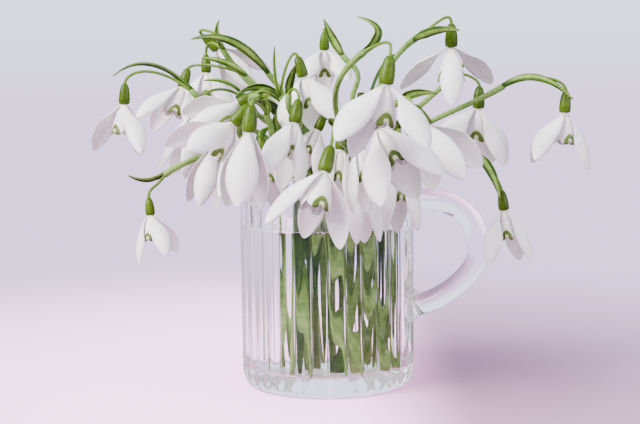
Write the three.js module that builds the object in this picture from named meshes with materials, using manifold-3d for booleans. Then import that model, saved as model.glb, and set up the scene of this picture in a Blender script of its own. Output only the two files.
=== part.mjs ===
// A bunch of snowdrops standing in a ribbed glass mug of water. Millimetres, +Z up, the origin at the
// centre of the mug's underside. The front of the bunch faces -Y and the handle points to +X.
import * as THREE from "three";
import Module from "manifold-3d";
import { mergeVertices } from "three/addons/utils/BufferGeometryUtils.js";

const wasm = await Module();
wasm.setup();

// ---- Driving dimensions ----------------------------------------------------------------------------

const MUG = {
  radius: 32.8,
  height: 81,
  ribs: 32,
  ribDepth: 0.8,
  ribStart: 5.5,
  ribEnd: 76,
  foot: 30.2,
  wall: 3.4,
  floor: 7,
  corner: 2,
  lipBack: 0.6,
  lipRound: 0.8,
};
// The handle's middle line as distance from the mug's axis and height, in a plane at this azimuth.
const HANDLE = {
  azimuth: -20,
  thick: 8,
  wide: 10,
  sides: 12,
  steps: 14,
  root: { reach: 33.4, z: 31, radius: 6.4, flat: 0.42 },
  line: [
    [31.2, 70],
    [43, 71],
    [51.5, 68],
    [57.2, 62],
    [58.9, 54],
    [57.5, 47.5],
    [51.8, 40.5],
    [43.5, 34.5],
    [31.2, 29.5],
  ],
};
const WATER_LEVEL = 61.5;
const GAP = 0.3; // between pieces that touch
const OVERRUN = 2; // how far a hole in the water runs past it
const BLADE = 0.65; // thickness of tepals, spathes and leaves

const SCAPE_RADIUS = 1;
const NODE_RADIUS = 1.25;
const PEDICEL_RADIUS = 0.55;
const PEDICEL_RINGS = [0.35, 0.6, 0.85]; // places along it
const STALK_SIDES = 6;
// The ovary, as shares of the outer tepal's length, and its rings from its top down to its blunt foot as
// shares of its own length and radius.
const OVARY = { length: 0.35, radius: 0.098 };
const OVARY_RINGS = [
  [1, 0.45],
  [0.72, 0.84],
  [0.3, 1],
  [0, 0.86],
];
const SEAT_RADIUS = 1.4; // the receptacle under the ovary, which carries the tepals
// An outer tepal leaves at its opening plus the flare and ends tucked in by the tuck, in degrees. One at
// the side rolls by up to the roll, which turns its broad face to the front. Below the shut opening the
// tepals hang together: they are narrower by the fold and roll by the least share. They part over some
// degrees more. The claw is the narrow foot that stays flat, and the blade spreads above it.
const OUTER = {
  cup: 0.42,
  flare: 18,
  tuck: 24,
  roll: 34,
  leastRoll: 0.3,
  shut: 12,
  parting: 14,
  fold: 0.18,
  claw: 0.16,
  spread: 0.3,
  shortEdge: 0.05,
};
// The outline of an outer tepal: how far its widest place lies towards the tip, how much fuller the tip
// is than the foot, and the least width at either end.
const SPOON = { lean: 1.25, claw: 0.16, foot: 0.95, fuller: 0.35, least: 0.24 };
// The inner tepals make a little cup, as shares of the outer tepal's length. Its mouth gapes wider for
// every degree that the outer tepals open.
const INNER = { length: 0.54, mouth: 0.1, gape: 0.003, widest: 36, floor: 0.15, stamens: 0.42 };
const STAMEN_FOOT = 1; // radius of the stamens' cone
const SPATHE_WIDTHS = [0.9, 1.7, 1.6, 1.1, 0.5]; // half widths from the node to the tip
const SPATHE_CURL = 0.3; // how far its edges turn back
const SPATHE_LIFT = 0.9; // how far its foot stands off the node
const COLLAR = { rise: 0.8, back: 0.35, radius: 0.9 }; // the stalk just above the spathe's foot
const PEDICEL = { follow: 0.8, behind: 2.5 }; // how it follows the spathe, and how far behind it
const LEAF = { foot: 1.7, mouth: 2.1, widest: 2.7, tip: 0.5, keel: 0.7 };

// The bunch at the mug's mouth: every stem and leaf drawn in under its own bloom, then spaced out.
const NECK = { x: 4, y: 4, height: 77, pull: 0.28, radius: 18, stem: 3.4, leaf: 6 };
// The feet spread about the middle of the mug, twisted round, as in a bunch that is set down.
const FEET = { share: 1.55, twist: 50, radius: 26 };
const ROUTE_STEPS = 24; // stretches of a stem or a leaf above the mug's mouth
const ROUTE_HANDLE = 0.35; // how far each end holds its direction, as a share of the reach
const ROUNDS = 120; // of giving way to each other
// What each round makes good of a lack of room, and how that push spreads to the points on either side.
const GIVE_WAY = { fixed: 0.35, stems: 0.25, reach: 2, peak: 0.4, loss: 0.13 };
// The room from the middle of a stem to the middle of each form.
const ROOM = { rim: 3.4, tepal: 3.5, cup: 4.5, ovary: 4, spathe: 3, pedicel: 2.4 };

// Each bloom: where its tepals meet the ovary, where the scape ends in the spathe, the spathe's crest and
// tip, how far the flower leans to +X and nods to -Y, the turn of its tepals, the outer tepal's length and
// its half width as a share of that, how far each outer tepal opens and swings round, and how high the
// pedicel arches over the ovary. Angles are in degrees.
const BLOOMS = [
  {
    neck: [-73, -20, 108], node: [-49, -12, 112], crest: [-64, -15, 122], tip: [-77, -18, 118],
    lean: -3, nod: 4, turn: 48, long: 21, wide: 0.165, open: [30, 38, 38], swing: [12, -19, 18], hang: 4,
  },
  {
    neck: [-54, 4, 113], node: [-30, 3, 117], crest: [-37, 0, 122], tip: [-46, -2, 124],
    lean: -17, nod: 16, turn: 100, long: 21.5, wide: 0.18, open: [42, 40, 40], swing: [23, -5, -23], hang: 3,
  },
  {
    neck: [-46, 20, 118], node: [-39, 14, 127], crest: [-41, 12, 133], tip: [-40, 12, 138],
    lean: 0, nod: 10, turn: 90, long: 20, wide: 0.19, open: [34, 34, 34], swing: [0, 0, 0], hang: 4,
  },
  {
    neck: [-42, 29, 127], node: [-22, 14, 118], crest: [-35, 6, 130], tip: [-50, 2, 131],
    lean: 46, nod: -8, turn: 30, long: 22, wide: 0.2, open: [22, 22, 22], swing: [0, 0, 0], hang: 8,
  },
  {
    neck: [-31, -28, 108], node: [-15, -13, 107], crest: [-23, -15, 113], tip: [-32, -18, 111],
    lean: -60, nod: 8, turn: 30, long: 21, wide: 0.2, open: [18, 25, 20], swing: [0, 0, 0], hang: 3,
  },
  {
    neck: [-32, -49, 102], node: [-21, -34, 104], crest: [-21, -36, 108], tip: [-22, -39, 111],
    lean: -42, nod: 12, turn: 24, long: 25, wide: 0.18, open: [32, 36, 48], swing: [-11, 12, -2], hang: 3,
  },
  {
    neck: [-26, -64, 100], node: [-23, -50, 111], crest: [-21, -53, 112], tip: [-19, -57, 113],
    lean: -6, nod: 8, turn: 22, long: 26, wide: 0.24, open: [16, 15, 15], swing: [0, 0, 0], hang: 3,
  },
  {
    neck: [-63, -34, 69], node: [-58, -28, 83], crest: [-64, -29, 81], tip: [-71, -31, 83],
    lean: 5, nod: 8, turn: 62, long: 17.5, wide: 0.18, open: [42, 18, 36], swing: [-7, 8, -2], hang: 4,
  },
  {
    neck: [-11, -47, 102], node: [-13, -39, 111], crest: [-12, -41, 117], tip: [-10, -43, 122],
    lean: -11, nod: 14, turn: 109, long: 23.5, wide: 0.19, open: [20, 33, 16], swing: [-14, 14, -14], hang: 3,
  },
  {
    neck: [-3, -24, 98], node: [5, -9, 103], crest: [-2, -7, 102], tip: [-10, -5, 101],
    lean: -25, nod: 12, turn: 90, long: 18, wide: 0.19, open: [20, 22, 26], swing: [0, 0, 0], hang: 4,
  },
  {
    neck: [-8, -20, 117], node: [-16, -19, 110], crest: [-18, -21, 119], tip: [-18, -23, 128],
    lean: 15, nod: 2, turn: 86, long: 21.5, wide: 0.22, open: [20, 46, 34], swing: [14, 18, -17], hang: 5,
  },
  {
    neck: [0, 30, 126], node: [7, 18, 124], crest: [3, 19, 131], tip: [0, 19, 138],
    lean: -1, nod: 0, turn: 93, long: 20, wide: 0.19, open: [36, 60, 60], swing: [-3, 31, -31], hang: 5,
  },
  {
    neck: [-1, -70, 87], node: [3, -57, 101], crest: [2, -59, 103], tip: [1, -61, 104],
    lean: -15, nod: 20, turn: 116, long: 26, wide: 0.165, open: [44, 34, 34], swing: [-19, -43, 44], hang: 4,
  },
  {
    neck: [5, -40, 92], node: [9, -30, 101], crest: [10, -32, 104], tip: [11, -35, 104],
    lean: -6, nod: 12, turn: 90, long: 22, wide: 0.19, open: [14, 14, 14], swing: [0, -5, 5], hang: 3,
  },
  {
    neck: [-22, -36, 90], node: [-18, -28, 97], crest: [-18, -30, 101], tip: [-18, -32, 104],
    lean: 12, nod: 14, turn: 94, long: 20, wide: 0.18, open: [16, 26, 15], swing: [-4, 3, 1], hang: 3,
  },
  {
    neck: [19, -83, 116], node: [13, -58, 126], crest: [18, -56, 133], tip: [11, -54, 138],
    lean: -10, nod: 6, turn: 113, long: 26, wide: 0.2, open: [20, 40, 48], swing: [27, -12, -27], hang: 4,
  },
  {
    neck: [46, -16, 127], node: [33, -14, 130], crest: [40, -21, 133], tip: [48, -27, 133],
    lean: 0, nod: -6, turn: 35, long: 24, wide: 0.17, open: [54, 52, 40], swing: [0, 8, -8], hang: 6,
  },
  {
    neck: [59, 14, 103], node: [49, 12, 116], crest: [52, 11, 119], tip: [55, 9, 121],
    lean: -3, nod: 2, turn: 80, long: 24, wide: 0.2, open: [30, 60, 32], swing: [-25, 24, 4], hang: 3,
  },
  {
    neck: [89, -6, 102], node: [66, -6, 112], crest: [79, -9, 115], tip: [91, -12, 107],
    lean: -4, nod: 4, turn: 120, long: 22.5, wide: 0.17, open: [34, 40, 26], swing: [20, -20, -10], hang: 5,
  },
  {
    neck: [63, -34, 69], node: [55, -24, 88], crest: [59, -32, 82], tip: [61, -39, 74],
    lean: 6, nod: 6, turn: 82, long: 20, wide: 0.17, open: [24, 32, 22], swing: [-22, 22, 18], hang: 2,
  },
  {
    neck: [17, -68, 101], node: [14, -50, 109], crest: [12, -52, 111], tip: [11, -54, 112],
    lean: 27, nod: 18, turn: 86, long: 27, wide: 0.22, open: [20, 28, 26], swing: [-6, -8, 9], hang: 3,
  },
  {
    neck: [11, -50, 87], node: [10, -39, 95], crest: [9, -41, 98], tip: [8, -43, 99],
    lean: 4, nod: 8, turn: 93, long: 27, wide: 0.19, open: [12, 8, 12], swing: [-3, 2, 3], hang: 3,
  },
  {
    neck: [35, -44, 100], node: [26, -30, 108], crest: [32, -33, 111], tip: [39, -37, 111],
    lean: 32, nod: 18, turn: 20, long: 25, wide: 0.2, open: [36, 48, 20], swing: [27, -27, 2], hang: 3,
  },
  {
    neck: [-48, -16, 103], node: [-30, -12, 109], crest: [-36, -15, 115], tip: [-44, -18, 116],
    lean: -26, nod: 10, turn: 85, long: 23, wide: 0.2, open: [16, 8, 20], swing: [-5, -3, 5], hang: 3,
  },
  {
    neck: [26, -34, 85], node: [26, -24, 97], crest: [25, -26, 100], tip: [23, -29, 101],
    lean: 0, nod: 10, turn: 94, long: 23.5, wide: 0.19, open: [12, 16, 16], swing: [8, -9, 1], hang: 3,
  },
  {
    neck: [11, -62, 94], node: [16, -47, 103], crest: [17, -49, 105], tip: [18, -51, 106],
    lean: 6, nod: 10, turn: 90, long: 22, wide: 0.18, open: [14, 14, 14], swing: [0, -5, 5], hang: 3,
  },
  {
    neck: [-39, -40, 94], node: [-31, -30, 102], crest: [-30, -32, 105], tip: [-30, -36, 107],
    lean: -14, nod: 4, turn: 29, long: 22, wide: 0.2, open: [16, 15, 15], swing: [1, 1, -1], hang: 3,
  },
];

// Each leaf: its tip, and the point that it arches up to on the way.
const LEAVES = [
  { crest: [-22, -12, 116], tip: [-32, -25, 110] },
  { crest: [-23, -22, 110], tip: [-24, -34, 91] },
  { crest: [19, 6, 125], tip: [28, 8, 124] },
  { crest: [41, -8, 101], tip: [47, -14, 88] },
];

// ---- Vectors ---------------------------------------------------------------------------------------

const UP = new THREE.Vector3(0, 0, 1);
const radians = THREE.MathUtils.degToRad;
const vec = ([x, y, z]) => new THREE.Vector3(x, y, z);

function unit(v) {
  return v.clone().normalize();
}

function between(a, b) {
  return b.clone().sub(a);
}

function along(origin, direction, distance) {
  return origin.clone().addScaledVector(direction, distance);
}

// What is left of a vector across an axis, as a direction.
function across(v, axis) {
  return unit(along(v, axis, -v.dot(axis)));
}

// ---- Skins: closed surfaces grown from rings and blades --------------------------------------------

// Every ring runs counterclockwise as seen from where the surface starts, so the faces point out.
class Skin {
  points = [];
  triangles = [];

  row(points) {
    return points.map((point) => this.points.push(point) - 1);
  }

  quad(a, b, c, d) {
    this.triangles.push(a, b, c, a, c, d);
  }

  startCap(ring) {
    for (let k = 1; k + 1 < ring.length; k++) this.triangles.push(ring[0], ring[k], ring[k + 1]);
  }

  endCap(ring) {
    for (let k = 1; k + 1 < ring.length; k++) this.triangles.push(ring[0], ring[k + 1], ring[k]);
  }

  point(ring, tip) {
    const apex = this.row([tip])[0];
    ring.forEach((a, k) => this.triangles.push(a, apex, ring[(k + 1) % ring.length]));
  }

  // Joins two rings, apart from the stretches that are left open for a blade.
  band(from, to, open = []) {
    from.forEach((a, k) => {
      const next = (k + 1) % from.length;
      if (!open.includes(k)) this.quad(a, to[k], to[next], from[next]);
    });
  }

  // Grows a blade of the given rows, each with an outer and an inner line of points. It starts from a
  // line of the skin for each face. Both faces split their quads along the same diagonal.
  blade(outerStart, innerStart, rows) {
    let outer = outerStart;
    let inner = innerStart;
    const last = outer.length - 1;
    for (const row of rows) {
      const nextOuter = this.row(row.outer);
      const nextInner = this.row(row.inner);
      for (let j = 0; j < last; j++) {
        this.quad(outer[j], nextOuter[j], nextOuter[j + 1], outer[j + 1]);
        this.triangles.push(inner[j], nextInner[j + 1], nextInner[j]);
        this.triangles.push(inner[j], inner[j + 1], nextInner[j + 1]);
      }
      this.quad(inner[0], nextInner[0], nextOuter[0], outer[0]);
      this.quad(outer[last], nextOuter[last], nextInner[last], inner[last]);
      outer = nextOuter;
      inner = nextInner;
    }
    for (let j = 0; j < last; j++) this.quad(outer[j], inner[j], inner[j + 1], outer[j + 1]);
  }

  geometry() {
    const flat = new Float32Array(this.points.flatMap((p) => [p.x, p.y, p.z]));
    const geometry = new THREE.BufferGeometry();
    geometry.setAttribute("position", new THREE.BufferAttribute(flat, 3));
    geometry.setIndex(this.triangles);
    geometry.computeVertexNormals();
    return geometry;
  }
}

// One row of a blade: points across it with their outward normals, half the thickness either side.
function bladeRow(marks, thickness = BLADE) {
  return {
    outer: marks.map(({ point, normal }) => along(point, normal, thickness / 2)),
    inner: marks.map(({ point, normal }) => along(point, normal, -thickness / 2)),
  };
}

// A blade that stands by itself.
function bladeGeometry(rows) {
  const skin = new Skin();
  const outer = skin.row(rows[0].outer);
  const inner = skin.row(rows[0].inner);
  for (let j = 0; j + 1 < outer.length; j++) skin.quad(outer[j], outer[j + 1], inner[j + 1], inner[j]);
  skin.blade(outer, inner, rows.slice(1));
  return skin.geometry();
}

// ---- Solids for cutting and joining ----------------------------------------------------------------

function solidOf(geometry) {
  const bare = geometry.clone();
  bare.deleteAttribute("normal");
  bare.deleteAttribute("uv");
  const merged = mergeVertices(bare, 1e-4);
  return new wasm.Manifold(
    new wasm.Mesh({
      numProp: 3,
      vertProperties: merged.attributes.position.array,
      triVerts: new Uint32Array(merged.index.array),
    }),
  );
}

function geometryOf(solid) {
  const mesh = solid.getMesh();
  const geometry = new THREE.BufferGeometry();
  geometry.setAttribute("position", new THREE.BufferAttribute(mesh.vertProperties, 3));
  geometry.setIndex(new THREE.BufferAttribute(mesh.triVerts, 1));
  geometry.computeVertexNormals();
  return geometry;
}

// ---- The tepals of a bloom -------------------------------------------------------------------------

// A bloom hangs along its axis from its neck, and e1 and e2 lie across it.
function bloomFrame(bloom) {
  const lean = radians(bloom.lean);
  const nod = radians(bloom.nod);
  const drop = -Math.cos(lean);
  const axis = new THREE.Vector3(Math.sin(lean), Math.sin(nod) * drop, Math.cos(nod) * drop);
  const e1 = across(new THREE.Vector3(1, 0, 0), axis);
  return { origin: vec(bloom.neck), axis, e1, e2: e1.clone().cross(axis) };
}

function outward(frame, azimuth) {
  return frame.e1.clone().multiplyScalar(Math.cos(azimuth)).addScaledVector(frame.e2, Math.sin(azimuth));
}

function bloomPoint(frame, azimuth, reach, drop) {
  return along(along(frame.origin, outward(frame, azimuth), reach), frame.axis, drop);
}

// Half the width of an outer tepal at u along it, as a share of its widest: a claw, a spoon and a
// rounded tip.
function spoon(u) {
  const swell = Math.max(Math.sin(Math.PI * Math.pow(u, SPOON.lean)), 0);
  const claw = SPOON.claw * (1 - u) * (1 - u);
  return Math.max(claw + Math.pow(swell, SPOON.foot - SPOON.fuller * u), SPOON.least);
}

// A point of an outer tepal, 0 to 2, and its outward normal. The share runs along it and v from edge to
// edge. Its edges fall short of its middle at the tip, which rounds it off.
function outerTepal(bloom, tepal, share, v) {
  const frame = bloomFrame(bloom);
  const u = share * (1 - OUTER.shortEdge * v * v);
  const base = radians(bloom.turn + 120 * tepal);
  const swing = radians(bloom.swing[tepal]);
  const azimuth = base + swing * Math.min(2 * u, 1);
  const start = radians(bloom.open[tepal] + OUTER.flare);
  const bend = radians(-OUTER.flare - OUTER.tuck);
  const angle = start + bend * u;
  const reach = SEAT_RADIUS + (bloom.long * (Math.cos(start) - Math.cos(angle))) / bend;
  const drop = GAP + BLADE / 2 + (bloom.long * (Math.sin(angle) - Math.sin(start))) / bend;
  const parted = THREE.MathUtils.clamp((bloom.open[tepal] - OUTER.shut) / OUTER.parting, 0, 1);
  const half = bloom.long * bloom.wide * (1 - OUTER.fold * (1 - parted)) * spoon(u);
  const aside = Math.cos(base + swing);
  const facing = Math.sin(base + swing) < 0.1 ? -1 : 1;
  const spread = THREE.MathUtils.clamp((u - OUTER.claw) / OUTER.spread, 0, 1);
  const rolled = OUTER.leastRoll + (1 - OUTER.leastRoll) * parted;
  const roll = radians(OUTER.roll) * aside * facing * spread * rolled;
  const cup = OUTER.cup * (0.5 + 0.5 * spread);
  const flat = outward(frame, azimuth + Math.PI / 2);
  const out = outward(frame, azimuth);
  const upright = along(out.multiplyScalar(Math.cos(angle)), frame.axis, -Math.sin(angle));
  const normal = along(upright.clone().multiplyScalar(Math.cos(roll)), flat, Math.sin(roll));
  const side = along(flat.clone().multiplyScalar(Math.cos(roll)), upright, -Math.sin(roll));
  const middle = bloomPoint(frame, azimuth, reach, drop);
  const point = along(along(middle, side, half * v), normal, -cup * half * v * v);
  return { point, normal: unit(along(normal, side, cup * v)) };
}

const OUTER_ROWS = [0.16, 0.38, 0.62, 0.85, 1];
const COLUMNS = [-1, 0, 1];
const AROUND = 12; // points in each ring of a bloom
const OUTER_TEPALS = [0, 4, 8]; // the ring points where they are centred
const LOBE = [0.8, 1, 0.88, 1]; // the inner cup's rim: between two tepals, shoulder, notch, shoulder

// The receptacle, the cup of inner tepals and the close cone of stamens are one surface of revolution,
// and the outer tepals grow out of its top band.
function tepalsGeometry(bloom) {
  const frame = bloomFrame(bloom);
  const skin = new Skin();
  const seatDrop = GAP + BLADE;
  const gape = (bloom.open[0] + bloom.open[1] + bloom.open[2]) / 3;
  const mouth = bloom.long * (INNER.mouth + INNER.gape * Math.min(gape, INNER.widest));
  const cupRadius = (u) => SEAT_RADIUS + (mouth - SEAT_RADIUS) * (1 - (1 - u) * (1 - u));
  const cupDrop = (u) => seatDrop + (bloom.long * INNER.length - seatDrop) * u;
  const azimuth = (k) => radians(bloom.turn + (360 * k) / AROUND);
  const ring = (radius, drop) =>
    skin.row(Array.from({ length: AROUND }, (_, k) => bloomPoint(frame, azimuth(k), radius(k), drop(k))));
  const plain = (radius, drop) => ring(() => radius, () => drop);
  const lobe = (k) => LOBE[k % LOBE.length];

  const top = plain(SEAT_RADIUS, GAP);
  const seat = plain(SEAT_RADIUS, seatDrop);
  const rim = ring((k) => cupRadius(lobe(k)), (k) => cupDrop(lobe(k)));
  const inside = ring((k) => cupRadius(lobe(k)) - BLADE, (k) => cupDrop(lobe(k)));
  const floor = plain(STAMEN_FOOT, bloom.long * INNER.floor);
  skin.startCap(top);
  skin.band(top, seat, OUTER_TEPALS.flatMap((k) => [(k + AROUND - 1) % AROUND, k]));
  skin.band(seat, rim);
  skin.band(rim, inside);
  skin.band(inside, floor);
  skin.point(floor, along(frame.origin, frame.axis, bloom.long * INNER.stamens));

  OUTER_TEPALS.forEach((centre, tepal) => {
    const start = COLUMNS.map((v) => (centre + v + AROUND) % AROUND);
    const rows = OUTER_ROWS.map((u) => bladeRow(COLUMNS.map((v) => outerTepal(bloom, tepal, u, v))));
    skin.blade(start.map((k) => top[k]), start.map((k) => seat[k]), rows);
  });
  return skin.geometry();
}

// ---- Spathe, pedicel and ovary ---------------------------------------------------------------------

function ovaryTop(bloom) {
  const frame = bloomFrame(bloom);
  return along(frame.origin, frame.axis, -bloom.long * OVARY.length);
}

// The spathe arches from the node over its crest to its tip.
function spatheLine(bloom) {
  const node = vec(bloom.node);
  const tip = vec(bloom.tip);
  const chordMiddle = node.clone().lerp(tip, 0.5);
  const crest = vec(bloom.crest);
  return new THREE.QuadraticBezierCurve3(node, along(crest, between(chordMiddle, crest), 1), tip);
}

// Where the scape is heading as it reaches the node, and the side of it that the spathe is on.
function nodeFrame(bloom) {
  const spathe = spatheLine(bloom);
  const rise = unit(between(spathe.v0, spathe.v1));
  const pedicelMiddle = spathe.v0.clone().lerp(ovaryTop(bloom), 0.5);
  return { rise, spatheSide: across(between(pedicelMiddle, vec(bloom.crest)), rise) };
}

// The pedicel follows the spathe on its other side and hangs over into the ovary.
function pedicelLine(bloom) {
  const { spatheSide } = nodeFrame(bloom);
  const spathe = spatheLine(bloom);
  const top = ovaryTop(bloom);
  return new THREE.CubicBezierCurve3(
    spathe.v0,
    along(spathe.v0.clone().lerp(spathe.v1, PEDICEL.follow), spatheSide, -PEDICEL.behind),
    along(top, bloomFrame(bloom).axis, -bloom.hang),
    top,
  );
}

// ---- The routes of scapes and leaves ---------------------------------------------------------------

// Each stem or leaf rises through the mouth and bends over to its end. The handle is what the last part
// of the curve bends to: a stem's lies back along the way that it reaches its node, a leaf's is its crest.
function routeGoals() {
  const stems = BLOOMS.map((bloom, of) => {
    const end = vec(bloom.node);
    const handle = (reach) => along(end, nodeFrame(bloom).rise, -ROUTE_HANDLE * reach);
    return { end, handle, room: NECK.stem, of };
  });
  const leaves = LEAVES.map(({ crest, tip }) => {
    return { end: vec(tip), handle: () => vec(crest), room: NECK.leaf, of: NO_BLOOM };
  });
  return [...stems, ...leaves];
}

const NO_BLOOM = -1; // what no bloom owns

// Where each passes the mouth: under its end, drawn in, then spaced out.
function mouthPoints(goals) {
  const points = goals.map(({ end }) => new THREE.Vector2(end.x, end.y).multiplyScalar(NECK.pull));
  for (let round = 0; round < ROUNDS; round++) {
    points.forEach((a, i) => {
      for (let j = i + 1; j < points.length; j++) {
        const apart = a.clone().sub(points[j]);
        const short = (goals[i].room + goals[j].room) / 2 - apart.length();
        if (short <= 0) continue;
        apart.normalize().multiplyScalar(short / 2);
        a.add(apart);
        points[j].sub(apart);
      }
    });
    points.forEach((a) => a.clampLength(0, NECK.radius));
  }
  return points.map((p) => new THREE.Vector3(NECK.x + p.x, NECK.y + p.y, NECK.height));
}

function footOf(mouth) {
  const drawnIn = new THREE.Vector3(mouth.x - NECK.x, mouth.y - NECK.y, 0);
  const turned = drawnIn.applyAxisAngle(UP, radians(FEET.twist));
  return turned.multiplyScalar(FEET.share).clampLength(0, FEET.radius).setZ(MUG.floor + GAP);
}

// What a route gives way to: points, each with the clearance it needs and the bloom it belongs to.
function obstacles() {
  const found = [];
  const rim = MUG.radius - MUG.wall / 2;
  for (let degrees = 0; degrees < 360; degrees += 6) {
    const out = new THREE.Vector3(Math.cos(radians(degrees)), Math.sin(radians(degrees)), 0);
    found.push({ at: out.multiplyScalar(rim).setZ(MUG.height), clear: ROOM.rim, of: NO_BLOOM });
  }
  BLOOMS.forEach((bloom, of) => {
    const { origin, axis } = bloomFrame(bloom);
    for (const tepal of [0, 1, 2]) {
      for (const share of [0.15, 0.35, 0.55, 0.75, 0.95]) {
        for (const v of [-0.8, 0, 0.8]) {
          found.push({ at: outerTepal(bloom, tepal, share, v).point, clear: ROOM.tepal, of: NO_BLOOM });
        }
      }
    }
    for (const share of [0.15, 0.35, 0.5]) {
      found.push({ at: along(origin, axis, share * bloom.long), clear: ROOM.cup, of: NO_BLOOM });
    }
    for (const share of [0.1, 0.5, 0.9]) {
      const height = share * OVARY.length * bloom.long;
      found.push({ at: along(origin, axis, -height), clear: ROOM.ovary, of });
    }
    for (const at of spatheLine(bloom).getPoints(6).slice(1)) found.push({ at, clear: ROOM.spathe, of });
    for (const at of pedicelLine(bloom).getPoints(8).slice(1)) found.push({ at, clear: ROOM.pedicel, of });
  });
  return found;
}

function plainRoute({ end, handle }, mouth) {
  const reach = mouth.distanceTo(end);
  const rise = along(mouth, UP, ROUTE_HANDLE * reach);
  return new THREE.CubicBezierCurve3(mouth, rise, handle(reach), end).getPoints(ROUTE_STEPS);
}

// The push on one point of a route from all that is too near to it. Its two ends stay.
function pushAt(k, route, goal, fixed, others) {
  const push = new THREE.Vector3();
  if (k === 0 || k === ROUTE_STEPS) return push;
  const giveWay = (other, clear, share) => {
    const short = clear - route[k].distanceTo(other);
    if (short > 0) push.addScaledVector(unit(between(other, route[k])), short * share);
  };
  const wider = (goal.room - NECK.stem) / 2;
  for (const { at, clear, of } of fixed) {
    if (of !== goal.of) giveWay(at, clear + wider, GIVE_WAY.fixed);
  }
  for (const { points, room } of others) {
    for (const other of points) giveWay(other, (goal.room + room) / 2, GIVE_WAY.stems);
  }
  return push;
}

// Where a route would run through a tepal or another stem it is pushed aside, and each push is spread
// along it.
function routesThrough(goals, mouths) {
  const routes = goals.map((goal, i) => plainRoute(goal, mouths[i]));
  const fixed = obstacles();
  const spread = [];
  for (let away = -GIVE_WAY.reach; away <= GIVE_WAY.reach; away++) {
    spread.push({ away, share: GIVE_WAY.peak - GIVE_WAY.loss * Math.abs(away) });
  }
  for (let round = 0; round < ROUNDS; round++) {
    const bundle = routes.map((points, i) => ({ points, room: goals[i].room }));
    const pushes = routes.map((route, i) => {
      const others = bundle.filter(({ points }) => points !== route);
      return route.map((_, k) => pushAt(k, route, goals[i], fixed, others));
    });
    routes.forEach((route, i) => {
      for (let k = 1; k < ROUTE_STEPS; k++) {
        for (const { away, share } of spread) {
          const from = THREE.MathUtils.clamp(k + away, 0, ROUTE_STEPS);
          route[k].addScaledVector(pushes[i][from], share);
        }
      }
    });
  }
  return routes;
}

// ---- The green stalk of a bloom --------------------------------------------------------------------

const STRAYING = 0.65; // how far a stalk may run from its route between two rings

// The points that a route needs to stay within the straying, its first and last among them.
function thinned(route) {
  const line = new THREE.Line3(route[0], route[route.length - 1]);
  const nearest = new THREE.Vector3();
  const strays = route.map((at) => at.distanceTo(line.closestPointToPoint(at, true, nearest)));
  const worst = strays.indexOf(Math.max(...strays));
  if (strays[worst] < STRAYING) return [route[0], route[route.length - 1]];
  return [...thinned(route.slice(0, worst + 1)), ...thinned(route.slice(worst)).slice(1)];
}

// A stalk's rings from the foot to the underside of the ovary, and which of them is at the node.
function stalkRings(bloom, route) {
  const frame = bloomFrame(bloom);
  const { rise, spatheSide } = nodeFrame(bloom);
  const scape = [footOf(route[0]), ...thinned(route)].map((at) => ({ at, radius: SCAPE_RADIUS }));
  const nodeIndex = scape.length - 1;
  scape[nodeIndex].radius = NODE_RADIUS;
  const collar = along(along(vec(bloom.node), rise, COLLAR.rise), spatheSide, -COLLAR.back);
  const line = pedicelLine(bloom);
  const pedicel = PEDICEL_RINGS.map((t) => ({ at: line.getPoint(t), radius: PEDICEL_RADIUS }));
  const ovary = OVARY_RINGS.map(([share, width]) => ({
    at: along(frame.origin, frame.axis, -share * OVARY.length * bloom.long),
    radius: width * OVARY.radius * bloom.long,
  }));
  const rings = [...scape, { at: collar, radius: COLLAR.radius }, ...pedicel, ...ovary];
  return { rings, nodeIndex, spatheSide };
}

// The rings' cross directions are carried from the node to both ends without twist.
function tubeSides(rings, startIndex, startSide) {
  const tangents = rings.map((_, i) =>
    unit(between(rings[Math.max(i - 1, 0)].at, rings[Math.min(i + 1, rings.length - 1)].at)),
  );
  const sides = [];
  sides[startIndex] = across(startSide, tangents[startIndex]);
  for (let i = startIndex + 1; i < rings.length; i++) sides[i] = across(sides[i - 1], tangents[i]);
  for (let i = startIndex - 1; i >= 0; i--) sides[i] = across(sides[i + 1], tangents[i]);
  return { tangents, sides };
}

function ringPoints({ at, radius }, side, tangent) {
  const other = side.clone().cross(tangent);
  return Array.from({ length: STALK_SIDES }, (_, k) => {
    const angle = (2 * Math.PI * k) / STALK_SIDES;
    return along(along(at, side, radius * Math.cos(angle)), other, radius * Math.sin(angle));
  });
}

function stalkGeometry(bloom, route) {
  const { rings, nodeIndex, spatheSide } = stalkRings(bloom, route);
  const { tangents, sides } = tubeSides(rings, nodeIndex, spatheSide);
  const skin = new Skin();
  const made = rings.map((ring, i) => skin.row(ringPoints(ring, sides[i], tangents[i])));
  const spatheStart = [STALK_SIDES - 1, 0, 1];
  skin.startCap(made[0]);
  for (let i = 0; i + 1 < made.length; i++) {
    skin.band(made[i], made[i + 1], i === nodeIndex ? [STALK_SIDES - 1, 0] : []);
  }
  skin.endCap(made[made.length - 1]);
  skin.blade(
    spatheStart.map((k) => made[nodeIndex][k]),
    spatheStart.map((k) => made[nodeIndex + 1][k]),
    spatheRows(bloom, sides[nodeIndex]),
  );
  return skin.geometry();
}

function spatheRows(bloom, startSide) {
  const line = spatheLine(bloom);
  const last = SPATHE_WIDTHS.length - 1;
  let facing = startSide;
  return SPATHE_WIDTHS.slice(1).map((half, i) => {
    const t = (i + 1) / last;
    const tangent = line.getTangent(t);
    facing = across(facing, tangent);
    const normal = facing;
    const side = normal.clone().cross(tangent);
    const middle = along(line.getPoint(t), normal, SPATHE_LIFT * (1 - t));
    return bladeRow(
      COLUMNS.map((v) => ({
        point: along(along(middle, side, half * v), normal, -SPATHE_CURL * half * v * v),
        normal: unit(along(normal, side, SPATHE_CURL * v)),
      })),
    );
  });
}

// ---- Leaves ----------------------------------------------------------------------------------------

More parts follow.
